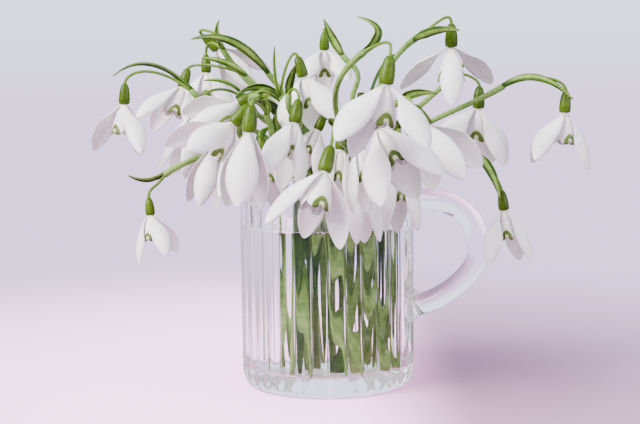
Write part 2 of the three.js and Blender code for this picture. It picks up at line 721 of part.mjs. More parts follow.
// A leaf is a strap with a keel. Its slot in the water is the same strap, larger by grow all round.
function leafRow(at, normal, side, half, grow) {
  const marks = COLUMNS.map((v) => ({
    point: along(along(at, side, (half + grow) * v), normal, LEAF.keel * (0.5 - Math.abs(v))),
    normal,
  }));
  return bladeRow(marks, BLADE + 2 * grow);
}

// The straight part of a leaf, from its foot in the water to the mouth.
function leafStraight(route, grow = 0, overrun = 0) {
  const foot = footOf(route[0]);
  const rise = unit(between(foot, route[0]));
  const side = across(UP.clone().cross(between(route[0], route[route.length - 1])).setZ(0), rise);
  const normal = rise.clone().cross(side);
  const ends = [
    [along(foot, rise, -overrun), LEAF.foot],
    [along(route[0], rise, overrun), LEAF.mouth],
  ];
  return { side, rows: ends.map(([at, half]) => leafRow(at, normal, side, half, grow)) };
}

function leafGeometry(route) {
  const { side, rows } = leafStraight(route);
  const curve = new THREE.CatmullRomCurve3(route);
  for (const t of [0.16, 0.34, 0.52, 0.68, 0.84, 1]) {
    const tangent = curve.getTangentAt(t);
    const swell = Math.sin(Math.PI * (0.35 + 0.65 * t));
    const half = Math.max(LEAF.widest * Math.sqrt(swell), LEAF.tip);
    const level = across(side, tangent);
    rows.push(leafRow(curve.getPointAt(t), tangent.clone().cross(level), level, half, 0));
  }
  return bladeGeometry(rows);
}

// ---- The glass mug and the water -------------------------------------------------------------------

function latheGeometry(profile, segments) {
  const points = profile.map(([radius, z]) => new THREE.Vector2(radius, z));
  return new THREE.LatheGeometry(points, segments).rotateX(Math.PI / 2);
}

// The outside of the mug. Every second line of the ribbed band is the valley between two ribs.
function mugOutside() {
  const geometry = latheGeometry(
    [
      [0, 0],
      [MUG.foot, 0],
      [MUG.radius - 0.6, 2.5],
      [MUG.radius, MUG.ribStart],
      [MUG.radius, MUG.ribEnd],
      [MUG.radius - MUG.lipBack, MUG.ribEnd + 1.5],
      [MUG.radius - MUG.lipBack, MUG.height - MUG.lipRound],
      [MUG.radius - MUG.lipBack - MUG.lipRound, MUG.height],
      [0, MUG.height],
    ],
    2 * MUG.ribs,
  );
  const position = geometry.attributes.position;
  for (let i = 0; i < position.count; i++) {
    const x = position.getX(i);
    const y = position.getY(i);
    const radius = Math.hypot(x, y);
    const line = Math.round((Math.atan2(y, x) * MUG.ribs) / Math.PI);
    if (radius < MUG.radius - 0.01 || line % 2 === 0) continue;
    const share = (radius - MUG.ribDepth) / radius;
    position.setXY(i, x * share, y * share);
  }
  return solidOf(geometry);
}

function mugInside() {
  const inner = MUG.radius - MUG.wall;
  return solidOf(
    latheGeometry(
      [
        [0, MUG.floor],
        [inner - MUG.corner, MUG.floor],
        [inner, MUG.floor + MUG.corner],
        [inner, MUG.height - MUG.lipRound],
        [inner + 1.5, MUG.height + 0.7],
        [0, MUG.height + 0.7],
      ],
      MUG.ribs,
    ),
  );
}

function handleSolid() {
  const azimuth = radians(HANDLE.azimuth);
  const out = new THREE.Vector3(Math.cos(azimuth), Math.sin(azimuth), 0);
  const line = HANDLE.line.map(([reach, z]) => along(out.clone().multiplyScalar(reach), UP, z));
  const extrudePath = new THREE.CatmullRomCurve3(line);
  const section = new THREE.Shape().absellipse(0, 0, HANDLE.thick / 2, HANDLE.wide / 2, 0, 2 * Math.PI);
  const outline = new THREE.Shape(section.getPoints(HANDLE.sides).slice(0, HANDLE.sides));
  const steps = HANDLE.steps;
  return solidOf(new THREE.ExtrudeGeometry(outline, { steps, extrudePath, bevelEnabled: false }));
}

// The flattened lump of glass where the handle's lower end was pressed onto the mug.
function handleRoot() {
  const { reach, z, radius, flat } = HANDLE.root;
  const lump = new THREE.SphereGeometry(radius, HANDLE.sides, HANDLE.sides).scale(flat, 1, 1);
  return solidOf(lump.translate(reach, 0, z).rotateZ(radians(HANDLE.azimuth)));
}

function mugSolid() {
  return mugOutside().add(handleSolid()).add(handleRoot()).subtract(mugInside());
}

// The water fills the mug up to its level, with a plain hole for each stem and a slot for each leaf.
function waterSolid(stems, leaves) {
  const inner = MUG.radius - MUG.wall - GAP;
  const bottom = MUG.floor + GAP;
  const body = solidOf(
    latheGeometry(
      [
        [0, bottom],
        [inner - MUG.corner, bottom],
        [inner, bottom + MUG.corner],
        [inner, WATER_LEVEL],
        [0, WATER_LEVEL],
      ],
      MUG.ribs,
    ),
  );
  const slots = leaves.map((route) => bladeGeometry(leafStraight(route, GAP, OVERRUN).rows));
  const cuts = [...stems.map(holeGeometry), ...slots].map(solidOf);
  return cuts.reduce((left, cut) => left.subtract(cut), body);
}

function holeGeometry(route) {
  const foot = footOf(route[0]);
  const rise = unit(between(foot, route[0]));
  const side = across(new THREE.Vector3(1, 0, 0), rise);
  const skin = new Skin();
  const ends = [along(foot, rise, -OVERRUN), along(route[0], rise, OVERRUN)].map((at) =>
    skin.row(ringPoints({ at, radius: SCAPE_RADIUS + 1.5 * GAP }, side, rise)),
  );
  skin.startCap(ends[0]);
  skin.band(ends[0], ends[1]);
  skin.endCap(ends[1]);
  return skin.geometry();
}

// ---- Assembly --------------------------------------------------------------------------------------

const clear = (color, opacity) => {
  return new THREE.MeshStandardMaterial({ color, roughness: 0.05, transparent: true, opacity });
};
const GLASS = clear(0xf2f0f6, 0.35);
const WATER = clear(0xe6ecea, 0.4);
const PETAL = new THREE.MeshStandardMaterial({ color: 0xf6f2f3, roughness: 0.5 });
const STALK = new THREE.MeshStandardMaterial({ color: 0x7d9a36, roughness: 0.45 });
const LEAFY = new THREE.MeshStandardMaterial({ color: 0x4f7f38, roughness: 0.45 });

const bunch = new THREE.Group();

function place(geometry, name, material) {
  const mesh = new THREE.Mesh(geometry, material);
  mesh.name = name;
  bunch.add(mesh);
}

const numbered = (index) => String(index + 1).padStart(2, "0");
const goals = routeGoals();
const routes = routesThrough(goals, mouthPoints(goals));
const stemRoutes = routes.slice(0, BLOOMS.length);
const leafRoutes = routes.slice(BLOOMS.length);

place(geometryOf(mugSolid()), "mug", GLASS);
place(geometryOf(waterSolid(stemRoutes, leafRoutes)), "water", WATER);
BLOOMS.forEach((bloom, i) => {
  place(tepalsGeometry(bloom), `tepals_${numbered(i)}`, PETAL);
  place(stalkGeometry(bloom, stemRoutes[i]), `stalk_${numbered(i)}`, STALK);
});
leafRoutes.forEach((route, i) => place(leafGeometry(route), `leaf_${numbered(i)}`, LEAFY));

export default bunch;
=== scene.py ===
"""A bunch of snowdrops standing in a ribbed glass mug of water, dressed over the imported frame.

Shapes are worked out in millimetres in the frame's own axes: +Z up, the front of the bunch to -Y, the
handle to +X. Meshes are written in metres.
"""

import math

import bmesh
import bpy
import numpy as np
from mathutils import Matrix, Vector


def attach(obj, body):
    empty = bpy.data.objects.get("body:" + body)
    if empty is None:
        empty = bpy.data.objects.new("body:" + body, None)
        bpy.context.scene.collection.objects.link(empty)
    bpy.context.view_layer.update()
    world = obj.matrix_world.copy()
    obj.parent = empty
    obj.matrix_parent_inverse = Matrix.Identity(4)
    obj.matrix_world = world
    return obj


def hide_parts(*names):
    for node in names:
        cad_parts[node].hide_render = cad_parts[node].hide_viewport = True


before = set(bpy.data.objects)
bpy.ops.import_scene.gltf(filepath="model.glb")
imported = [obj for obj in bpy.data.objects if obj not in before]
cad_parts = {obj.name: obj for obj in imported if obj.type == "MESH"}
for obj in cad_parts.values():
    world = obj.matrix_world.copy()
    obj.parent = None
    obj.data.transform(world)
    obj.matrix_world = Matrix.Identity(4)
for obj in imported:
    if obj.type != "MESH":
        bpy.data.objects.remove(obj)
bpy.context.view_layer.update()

MM = 0.001

# ---- Driving dimensions, as in the part's source ------------------------------------------------------

MUG = {
    "radius": 32.8,
    "height": 81.0,
    "ribs": 32,
    "rib_depth": 0.8,
    "rib_start": 5.5,
    "rib_end": 76.0,
    "foot": 30.2,
    "wall": 3.4,
    "floor": 7.0,
}
HANDLE = {
    "azimuth": -20.0,
    "thick": 8.0,
    "wide": 10.0,
    "root": {"reach": 33.4, "z": 31.0, "radius": 6.4, "flat": 0.42},
    "line": [
        (31.2, 70),
        (43, 71),
        (51.5, 68),
        (57.2, 62),
        (58.9, 54),
        (57.5, 47.5),
        (51.8, 40.5),
        (43.5, 34.5),
        (31.2, 29.5),
    ],
}
WATER_LEVEL = 61.5
GAP = 0.3
BLADE = 0.65

SCAPE_RADIUS = 1.0
NODE_RADIUS = 1.25
PEDICEL_RADIUS = 0.55
OVARY = {"length": 0.35, "radius": 0.098}
SEAT_RADIUS = 1.4
OUTER = {"fold": 0.18, "cup": 0.42, "flare": 18.0, "tuck": 24.0, "roll": 34.0}
INNER = {"length": 0.54, "mouth": 0.1, "gape": 0.003, "widest": 36.0, "floor": 0.15, "stamens": 0.42}
SPATHE_WIDTHS = [0.9, 1.7, 1.6, 1.1, 0.5]  # half its width, from its foot to its tip
LEAF = {"foot": 1.7, "mouth": 2.1, "widest": 2.7, "keel": 0.7, "edge": 0.2, "thicker": 0.4}
NECK = {"x": 4.0, "y": 4.0, "height": 77.0, "pull": 0.28, "radius": 18.0, "stem": 3.4, "leaf": 6.0}
FEET = {"share": 1.55, "twist": 50.0, "radius": 26.0}

# A bloom hangs from its neck. Its stalk ends in the node, and its spathe arches over the crest to the tip.
# The bloom leans to the side, nods to the front and is turned about its axis, in degrees. It is as long as
# its outer tepals, and wide is half the width of one, as a share of that. Each outer tepal has its own
# opening and swing, in degrees, and hang is how far the pedicel comes straight down to the bloom.
BLOOM_FACTS = ("neck", "node", "crest", "tip", "lean", "nod", "turn", "long", "wide", "open", "swing", "hang")


def bloom_from(*facts):
    """A bloom's facts by their names."""
    return dict(zip(BLOOM_FACTS, facts))


BLOOMS = [
    bloom_from(
        (-73, -20, 108), (-49, -12, 112), (-64, -15, 122), (-77, -18, 118),
        -3, 4, 48, 21, 0.165, (30, 38, 38), (12, -19, 18), 4,
    ),
    bloom_from(
        (-54, 4, 113), (-30, 3, 117), (-37, 0, 122), (-46, -2, 124),
        -17, 16, 100, 21.5, 0.18, (42, 40, 40), (23, -5, -23), 3,
    ),
    bloom_from(
        (-46, 20, 118), (-39, 14, 127), (-41, 12, 133), (-40, 12, 138),
        0, 10, 90, 20, 0.19, (34, 34, 34), (0, 0, 0), 4,
    ),
    bloom_from(
        (-42, 29, 127), (-22, 14, 118), (-35, 6, 130), (-50, 2, 131),
        46, -8, 30, 22, 0.2, (22, 22, 22), (0, 0, 0), 8,
    ),
    bloom_from(
        (-31, -28, 108), (-15, -13, 107), (-23, -15, 113), (-32, -18, 111),
        -60, 8, 30, 21, 0.2, (18, 25, 20), (0, 0, 0), 3,
    ),
    bloom_from(
        (-32, -49, 102), (-21, -34, 104), (-21, -36, 108), (-22, -39, 111),
        -42, 12, 24, 25, 0.18, (32, 36, 48), (-11, 12, -2), 3,
    ),
    bloom_from(
        (-26, -64, 100), (-23, -50, 111), (-21, -53, 112), (-19, -57, 113),
        -6, 8, 22, 26, 0.24, (16, 15, 15), (0, 0, 0), 3,
    ),
    bloom_from(
        (-63, -34, 69), (-58, -28, 83), (-64, -29, 81), (-71, -31, 83),
        5, 8, 62, 17.5, 0.18, (42, 18, 36), (-7, 8, -2), 4,
    ),
    bloom_from(
        (-11, -47, 102), (-13, -39, 111), (-12, -41, 117), (-10, -43, 122),
        -11, 14, 109, 23.5, 0.19, (20, 33, 16), (-14, 14, -14), 3,
    ),
    bloom_from(
        (-3, -24, 98), (5, -9, 103), (-2, -7, 102), (-10, -5, 101),
        -25, 12, 90, 18, 0.19, (20, 22, 26), (0, 0, 0), 4,
    ),
    bloom_from(
        (-8, -20, 117), (-16, -19, 110), (-18, -21, 119), (-18, -23, 128),
        15, 2, 86, 21.5, 0.22, (20, 46, 34), (14, 18, -17), 5,
    ),
    bloom_from(
        (0, 30, 126), (7, 18, 124), (3, 19, 131), (0, 19, 138),
        -1, 0, 93, 20, 0.19, (36, 60, 60), (-3, 31, -31), 5,
    ),
    bloom_from(
        (-1, -70, 87), (3, -57, 101), (2, -59, 103), (1, -61, 104),
        -15, 20, 116, 26, 0.165, (44, 34, 34), (-19, -43, 44), 4,
    ),
    bloom_from(
        (5, -40, 92), (9, -30, 101), (10, -32, 104), (11, -35, 104),
        -6, 12, 90, 22, 0.19, (14, 14, 14), (0, -5, 5), 3,
    ),
    bloom_from(
        (-22, -36, 90), (-18, -28, 97), (-18, -30, 101), (-18, -32, 104),
        12, 14, 94, 20, 0.18, (16, 26, 15), (-4, 3, 1), 3,
    ),
    bloom_from(
        (19, -83, 116), (13, -58, 126), (18, -56, 133), (11, -54, 138),
        -10, 6, 113, 26, 0.2, (20, 40, 48), (27, -12, -27), 4,
    ),
    bloom_from(
        (46, -16, 127), (33, -14, 130), (40, -21, 133), (48, -27, 133),
        0, -6, 35, 24, 0.17, (54, 52, 40), (0, 8, -8), 6,
    ),
    bloom_from(
        (59, 14, 103), (49, 12, 116), (52, 11, 119), (55, 9, 121),
        -3, 2, 80, 24, 0.2, (30, 60, 32), (-25, 24, 4), 3,
    ),
    bloom_from(
        (89, -6, 102), (66, -6, 112), (79, -9, 115), (91, -12, 107),
        -4, 4, 120, 22.5, 0.17, (34, 40, 26), (20, -20, -10), 5,
    ),
    bloom_from(
        (63, -34, 69), (55, -24, 88), (59, -32, 82), (61, -39, 74),
        6, 6, 82, 20, 0.17, (24, 32, 22), (-22, 22, 18), 2,
    ),
    bloom_from(
        (17, -68, 101), (14, -50, 109), (12, -52, 111), (11, -54, 112),
        27, 18, 86, 27, 0.22, (20, 28, 26), (-6, -8, 9), 3,
    ),
    bloom_from(
        (11, -50, 87), (10, -39, 95), (9, -41, 98), (8, -43, 99),
        4, 8, 93, 27, 0.19, (12, 8, 12), (-3, 2, 3), 3,
    ),
    bloom_from(
        (35, -44, 100), (26, -30, 108), (32, -33, 111), (39, -37, 111),
        32, 18, 20, 25, 0.2, (36, 48, 20), (27, -27, 2), 3,
    ),
    bloom_from(
        (-48, -16, 103), (-30, -12, 109), (-36, -15, 115), (-44, -18, 116),
        -26, 10, 85, 23, 0.2, (16, 8, 20), (-5, -3, 5), 3,
    ),
    bloom_from(
        (26, -34, 85), (26, -24, 97), (25, -26, 100), (23, -29, 101),
        0, 10, 94, 23.5, 0.19, (12, 16, 16), (8, -9, 1), 3,
    ),
    bloom_from(
        (11, -62, 94), (16, -47, 103), (17, -49, 105), (18, -51, 106),
        6, 10, 90, 22, 0.18, (14, 14, 14), (0, -5, 5), 3,
    ),
    bloom_from(
        (-39, -40, 94), (-31, -30, 102), (-30, -32, 105), (-30, -36, 107),
        -14, 4, 29, 22, 0.2, (16, 15, 15), (1, 1, -1), 3,
    ),
]

# Each leaf: the point that it arches up to, and its tip.
LEAVES = [
    {"crest": (-22, -12, 116), "tip": (-32, -25, 110)},
    {"crest": (-23, -22, 110), "tip": (-24, -34, 91)},
    {"crest": (19, 6, 125), "tip": (28, 8, 124)},
    {"crest": (41, -8, 101), "tip": (47, -14, 88)},
]

# ---- Vectors ------------------------------------------------------------------------------------------

UP = np.array([0.0, 0.0, 1.0])


def vec(values):
    return np.array(values, float)


def unit(v):
    return v / max(np.linalg.norm(v), 1e-9)


def across(v, axis):
    """What is left of a vector across an axis, as a direction."""
    return unit(v - axis * np.dot(v, axis))


def clamp(value, low=0.0, high=1.0):
    return min(max(value, low), high)


def bezier(controls, t):
    """A point of the Bezier curve with these control points."""
    points = [vec(p) for p in controls]
    while len(points) > 1:
        points = [a + (b - a) * t for a, b in zip(points, points[1:])]
    return points[0]


def smooth_line(points, count):
    """Points spread evenly along the smooth line through a route."""
    points = np.array(points)
    padded = np.vstack([2 * points[0] - points[1], points, 2 * points[-1] - points[-2]])
    fine = []
    for a, b, c, d in zip(padded, padded[1:], padded[2:], padded[3:]):
        for t in np.linspace(0, 1, 6, endpoint=False):
            cubic = (-a + 3 * b - 3 * c + d) * t**3 + (2 * a - 5 * b + 4 * c - d) * t**2
            fine.append(0.5 * (2 * b + (c - a) * t + cubic))
    fine.append(points[-1])
    fine = np.array(fine)
    run = np.concatenate([[0], np.cumsum(np.linalg.norm(np.diff(fine, axis=0), axis=1))])
    even = np.linspace(0, run[-1], count)
    return np.stack([np.interp(even, run, fine[:, i]) for i in range(3)], axis=1)


def tangents_of(line):
    ahead = np.vstack([line[1:], line[-1:]])
    behind = np.vstack([line[:1], line[:-1]])
    return [unit(v) for v in ahead - behind]


def carried(first, tangents):
    """A cross direction carried along a line without twist."""
    sides = [across(first, tangents[0])]
    for tangent in tangents[1:]:
        sides.append(across(sides[-1], tangent))
    return sides


# ---- Surfaces -----------------------------------------------------------------------------------------


class Surface:
    """Faces of one piece. Every corner has a place on the piece, for its finish to read."""

    def __init__(self):
        self.points = []
        self.faces = []
        self.places = []
        self.finishes = []

    def add(self, points):
        start = len(self.points)
        self.points.extend(points)
        return start

    def face(self, corners, places, finish):
        self.faces.append(corners)
        self.places.append(places)
        self.finishes.append(finish)

    def face_out(self, first):
        """Turns the faces from the first on, which close one body, to face out of it."""
        triangles = [
            (corners[0], b, c) for corners in self.faces[first:] for b, c in zip(corners[1:], corners[2:])
        ]
        a, b, c = (np.array([self.points[triangle[k]] for triangle in triangles]) for k in range(3))
        if np.einsum("ij,ij->", a - a[0], np.cross(b - a[0], c - a[0])) > 0:
            return
        for index in range(first, len(self.faces)):
            self.faces[index] = self.faces[index][::-1]
            self.places[index] = self.places[index][::-1]

    def shell(self, outer, inner, places, finish, inside):
        """A thin closed blade between two grids of points."""
        rows, columns = len(outer), len(outer[0])
        first = len(self.faces)
        start_out = self.add([p for row in outer for p in row])
        start_in = self.add([p for row in inner for p in row])

        def corner(start, i, j):
            return start + i * columns + j

        for i in range(rows - 1):
            for j in range(columns - 1):
                quad = [(i, j), (i + 1, j), (i + 1, j + 1), (i, j + 1)]
                where = [places[a][b] for a, b in quad]
                self.face([corner(start_out, *c) for c in quad], where, finish)
                self.face([corner(start_in, *c) for c in quad][::-1], where[::-1], inside)
        rim = [(i, 0) for i in range(rows - 1)]
        rim += [(rows - 1, j) for j in range(columns - 1)]
        rim += [(i, columns - 1) for i in range(rows - 1, 0, -1)]
        rim += [(0, j) for j in range(columns - 1, 0, -1)]
        for a, b in zip(rim, rim[1:] + rim[:1]):
            sides = [(start_out, b), (start_out, a), (start_in, a), (start_in, b)]
            where = [places[i][j] for _, (i, j) in sides]
            self.face([corner(start, *at) for start, at in sides], where, finish)
        self.face_out(first)

    def blade(self, levels, columns, corner, finish, inside):
        """A shell from a rule that gives the outer point, the inner point and the place of a corner."""
        grid = [[corner(level, v) for v in np.linspace(-1, 1, columns)] for level in levels]
        outer, inner, places = ([[found[k] for found in row] for row in grid] for k in range(3))
        self.shell(outer, inner, places, finish, inside)

    def tube(self, rings, finish, along=(0.0, 1.0)):
        """A closed body through rings of points, with a flat cap at each end."""
        sides = len(rings[0])
        first = len(self.faces)
        starts = [self.add(ring) for ring in rings]
        levels = np.linspace(along[0], along[1], len(rings))
        for i in range(len(rings) - 1):
            for k in range(sides):
                after = (k + 1) % sides
                corners = [starts[i] + k, starts[i] + after, starts[i + 1] + after, starts[i + 1] + k]
                left, right = k / sides, (k + 1) / sides
                where = [(levels[i], left), (levels[i], right), (levels[i + 1], right), (levels[i + 1], left)]
                self.face(corners, where, finish)
        self.face([starts[0] + k for k in range(sides)][::-1], [(levels[0], 0.5)] * sides, finish)
        self.face([starts[-1] + k for k in range(sides)], [(levels[-1], 0.5)] * sides, finish)
        self.face_out(first)

    def piece(self, name, finishes, slot, *nodes):
        """Makes the piece, sets it on the frame in place of these nodes, and returns it."""
        mesh = bpy.data.meshes.new(name)
        mesh.from_pydata([tuple(float(c) * MM for c in p) for p in self.points], [], self.faces)
        for finish in finishes:
            mesh.materials.append(finish.material)
        mesh.polygons.foreach_set("material_index", self.finishes)
        mesh.polygons.foreach_set("use_smooth", [True] * len(self.faces))
        layer = mesh.uv_layers.new(name="place")
        layer.data.foreach_set("uv", [c for face in self.places for place in face for c in place])
        piece = bpy.data.objects.new(name, mesh)
        bpy.context.scene.collection.objects.link(piece)
        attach(piece, "root")
        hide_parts(*nodes)
        return piece


def ring_of(centre, side, tangent, radii):
    """A ring of points round a centre, with a radius for each of its points."""
    other = np.cross(side, tangent)
    turns = 2 * math.pi * np.arange(len(radii)) / len(radii)
    return [
        centre + r * (side * math.cos(turn) + other * math.sin(turn)) for r, turn in zip(radii, turns)
    ]


# ---- Forms of a bloom ---------------------------------------------------------------------------------


class Hanging:
    """A bloom's own axes: it hangs along its axis from its neck, and e1 and e2 lie across it."""

    def __init__(self, bloom):
        lean = math.radians(bloom["lean"])
        nod = math.radians(bloom["nod"])
        drop = -math.cos(lean)
        self.origin = vec(bloom["neck"])
        self.axis = vec([math.sin(lean), math.sin(nod) * drop, math.cos(nod) * drop])
        self.e1 = across(vec([1, 0, 0]), self.axis)
        self.e2 = np.cross(self.e1, self.axis)

    def outward(self, azimuth):
        return self.e1 * math.cos(azimuth) + self.e2 * math.sin(azimuth)

    def point(self, azimuth, reach, drop):
        return self.origin + self.outward(azimuth) * reach + self.axis * drop


def spoon(u):
    """Half an outer tepal's width at u along it, as a share of its widest: a narrow claw, a broad bowl
    past the middle and a blunt tip."""
    swell = max(math.sin(math.pi * u**1.25), 0.0)
    return 0.16 * (1 - u) ** 2 + swell ** (0.95 - 0.35 * u)


def outer_tepal(bloom, hanging, tepal, u, v, blunt=0.0):
    """A point of an outer tepal and its outward normal, u along it and v from edge to edge. The tepals of
    an open bloom are broad, and roll one edge to the front."""
    base = math.radians(bloom["turn"] + 120 * tepal)
    swing = math.radians(bloom["swing"][tepal])
    azimuth = base + swing * min(2 * u, 1)
    start = math.radians(bloom["open"][tepal] + OUTER["flare"])
    bend = math.radians(-OUTER["flare"] - OUTER["tuck"])
    angle = start + bend * u
    length = bloom["long"]
    reach = SEAT_RADIUS + length * (math.cos(start) - math.cos(angle)) / bend
    drop = GAP + BLADE / 2 + length * (math.sin(angle) - math.sin(start)) / bend
    parted = clamp((bloom["open"][tepal] - 12) / 14)
    half = length * bloom["wide"] * (1 - OUTER["fold"] * (1 - parted)) * max(spoon(u), blunt)
    facing = -1 if math.sin(base + swing) < 0.1 else 1
    spread = clamp((u - 0.16) / 0.3)
    roll = math.radians(OUTER["roll"]) * math.cos(base + swing) * facing * spread * (0.3 + 0.7 * parted)
    cup = OUTER["cup"] * (0.5 + 0.5 * spread)
    flat = hanging.outward(azimuth + math.pi / 2)
    upright = hanging.outward(azimuth) * math.cos(angle) - hanging.axis * math.sin(angle)
    normal = upright * math.cos(roll) + flat * math.sin(roll)
    side = flat * math.cos(roll) - upright * math.sin(roll)
    point = hanging.point(azimuth, reach, drop) + side * half * v - normal * cup * half * v * v
    return point, unit(normal + side * cup * v)


def cup_mouth(bloom):
    """The radius of the inner cup's mouth, which gapes as the outer tepals open."""
    opening = min(sum(bloom["open"]) / 3, INNER["widest"])
    return bloom["long"] * (INNER["mouth"] + INNER["gape"] * opening)


def ovary_top(bloom, hanging):
    return hanging.origin - hanging.axis * bloom["long"] * OVARY["length"]


def spathe_controls(bloom):
    """The spathe's curve from the node over its crest to its tip."""
    node, crest, tip = vec(bloom["node"]), vec(bloom["crest"]), vec(bloom["tip"])
    return [node, 2 * crest - (node + tip) / 2, tip]


def node_frame(bloom, hanging):
    """Where the scape is heading as it reaches the node, and the side of it that the spathe is on."""
    node, handle, _ = spathe_controls(bloom)
    rise = unit(handle - node)
    middle = (node + ovary_top(bloom, hanging)) / 2
    return rise, across(vec(bloom["crest"]) - middle, rise)


def pedicel_controls(bloom, hanging):
    """The pedicel's curve: off under the spathe, over, and straight down to the ovary."""
    node, handle, _ = spathe_controls(bloom)
    top = ovary_top(bloom, hanging)
    _, side = node_frame(bloom, hanging)
    return [node, node + 0.8 * (handle - node) - 2.5 * side, top - hanging.axis * bloom["hang"], top]


# ---- The routes of stems and leaves -------------------------------------------------------------------

STEPS = 24  # stretches of a route above the mug's mouth
ROUNDS = 120  # of pushing apart
BEND = 0.35  # of a route's reach, from each end to its handle
YIELD = {"to_solid": 0.35, "to_stem": 0.25}
ROOM = {"rim": 3.4, "tepal": 3.5, "cup": 4.5, "ovary": 4.0, "spathe": 3.0, "pedicel": 2.4}
BLUNT = 0.24  # the least that a tepal counts as wide by, as a share of its widest
FOR_ALL = -2  # a place that every route gives way to
NO_BLOOM = -1  # a leaf's route has no bloom


def goals():
    """The end of each route, the handle that it bends to, the room it needs and its bloom."""
    found = []
    for index, bloom in enumerate(BLOOMS):
        rise, _ = node_frame(bloom, Hanging(bloom))
        end = vec(bloom["node"])
        found.append((end, lambda reach, end=end, rise=rise: end - BEND * reach * rise, NECK["stem"], index))
    for leaf in LEAVES:
        crest = vec(leaf["crest"])
        found.append((vec(leaf["tip"]), lambda reach, crest=crest: crest, NECK["leaf"], NO_BLOOM))
    return found


def mouth_points(found):
    """Where each passes the mouth: under its end, drawn in, then spaced out."""
    points = [end[:2] * NECK["pull"] for end, _, _, _ in found]
    for _ in range(ROUNDS):
        for i in range(len(points)):
            for j in range(i + 1, len(points)):
                apart = points[i] - points[j]
                short = (found[i][2] + found[j][2]) / 2 - np.linalg.norm(apart)
                if short <= 0:
                    continue
                push = unit(apart) * short / 2
                points[i] = points[i] + push
                points[j] = points[j] - push
        points = [p * min(1.0, NECK["radius"] / max(np.linalg.norm(p), 1e-9)) for p in points]
    return [vec([NECK["x"] + p[0], NECK["y"] + p[1], NECK["height"]]) for p in points]


def foot_of(mouth):
    """Where a stem or leaf stands: the feet spread about the middle of the mug, twisted round."""
    turn = math.radians(FEET["twist"])
    out_x, out_y = mouth[0] - NECK["x"], mouth[1] - NECK["y"]
    x = out_x * math.cos(turn) - out_y * math.sin(turn)
    y = out_x * math.sin(turn) + out_y * math.cos(turn)
    share = min(FEET["share"], FEET["radius"] / max(math.hypot(x, y), 1e-9))
    return vec([share * x, share * y, MUG["floor"] + GAP])


def obstacles():
    """What a route gives way to: places, the room each needs, and the bloom whose own route may pass."""
    found = []
    rim = MUG["radius"] - MUG["wall"] / 2
    for degrees in range(0, 360, 6):
        turn = math.radians(degrees)
        found.append((vec([rim * math.cos(turn), rim * math.sin(turn), MUG["height"]]), ROOM["rim"], FOR_ALL))
    for index, bloom in enumerate(BLOOMS):
        hanging = Hanging(bloom)
        length = bloom["long"]
        for tepal in range(3):
            for u in (0.15, 0.35, 0.55, 0.75, 0.95):
                for v in (-0.8, 0, 0.8):
                    place, _ = outer_tepal(bloom, hanging, tepal, u * (1 - 0.05 * v * v), v, BLUNT)
                    found.append((place, ROOM["tepal"], FOR_ALL))
        for share in (0.15, 0.35, 0.5):
            found.append((hanging.origin + hanging.axis * share * length, ROOM["cup"], FOR_ALL))
        for share in (0.1, 0.5, 0.9):
            place = hanging.origin - hanging.axis * share * OVARY["length"] * length
            found.append((place, ROOM["ovary"], index))
        for t in np.linspace(0, 1, 7)[1:]:
            found.append((bezier(spathe_controls(bloom), t), ROOM["spathe"], index))
        for t in np.linspace(0, 1, 9)[1:]:
            found.append((bezier(pedicel_controls(bloom, hanging), t), ROOM["pedicel"], index))
    return found


def pushed(at, others, room, share):
    """The push that points get from others that are nearer than the room they need."""
    apart = at[:, None, :] - others[None, :, :]
    distance = np.maximum(np.linalg.norm(apart, axis=2), 1e-9)
    short = np.maximum(room - distance, 0) * share
    return np.einsum("ij,ijk->ik", short / distance, apart)


def soothed(push):
    """A route's push, spread over two neighbours to each side of every point, the nearest most."""
    padded = np.vstack([push[:1], push[:1], push, push[-1:], push[-1:]])
    return sum(padded[2 + r : 3 + r + STEPS] * (0.4 - 0.13 * abs(r)) for r in (-2, -1, 0, 1, 2))


def routes_through(found):
    """Each route rises through the mouth and bends over to its end, pushed aside where it would run
    through a tepal or another stem."""
    routes = []
    for (end, handle, _, _), mouth in zip(found, mouth_points(found)):
        reach = np.linalg.norm(end - mouth)
        controls = [mouth, mouth + UP * BEND * reach, handle(reach), end]
        routes.append(np.array([bezier(controls, t) for t in np.linspace(0, 1, STEPS + 1)]))
    fixed = obstacles()
    places = np.array([place for place, _, _ in fixed])
    rooms = np.array([room for _, room, _ in fixed])
    owner = np.array([index for _, _, index in fixed])
    for _ in range(ROUNDS):
        pushes = []
        for i, route in enumerate(routes):
            wider = (found[i][2] - NECK["stem"]) / 2
            foreign = owner != found[i][3]
            push = pushed(route, places[foreign], rooms[foreign] + wider, YIELD["to_solid"])
            for j, other in enumerate(routes):
                if j != i:
                    push = push + pushed(route, other, (found[i][2] + found[j][2]) / 2, YIELD["to_stem"])
            push[0] = 0
            push[STEPS] = 0
            pushes.append(push)
        for route, push in zip(routes, pushes):
            route[1:STEPS] += soothed(push)[1:STEPS]
    return routes


# ---- Finishes -----------------------------------------------------------------------------------------


def rgb(red, green, blue):
    """A colour as the eye sees it, from 0 to 255, as the linear colour that a shader takes."""
    shares = [value / 255 for value in (red, green, blue)]
    linear = [c / 12.92 if c <= 0.04045 else ((c + 0.055) / 1.055) ** 2.4 for c in shares]
    return (*linear, 1.0)


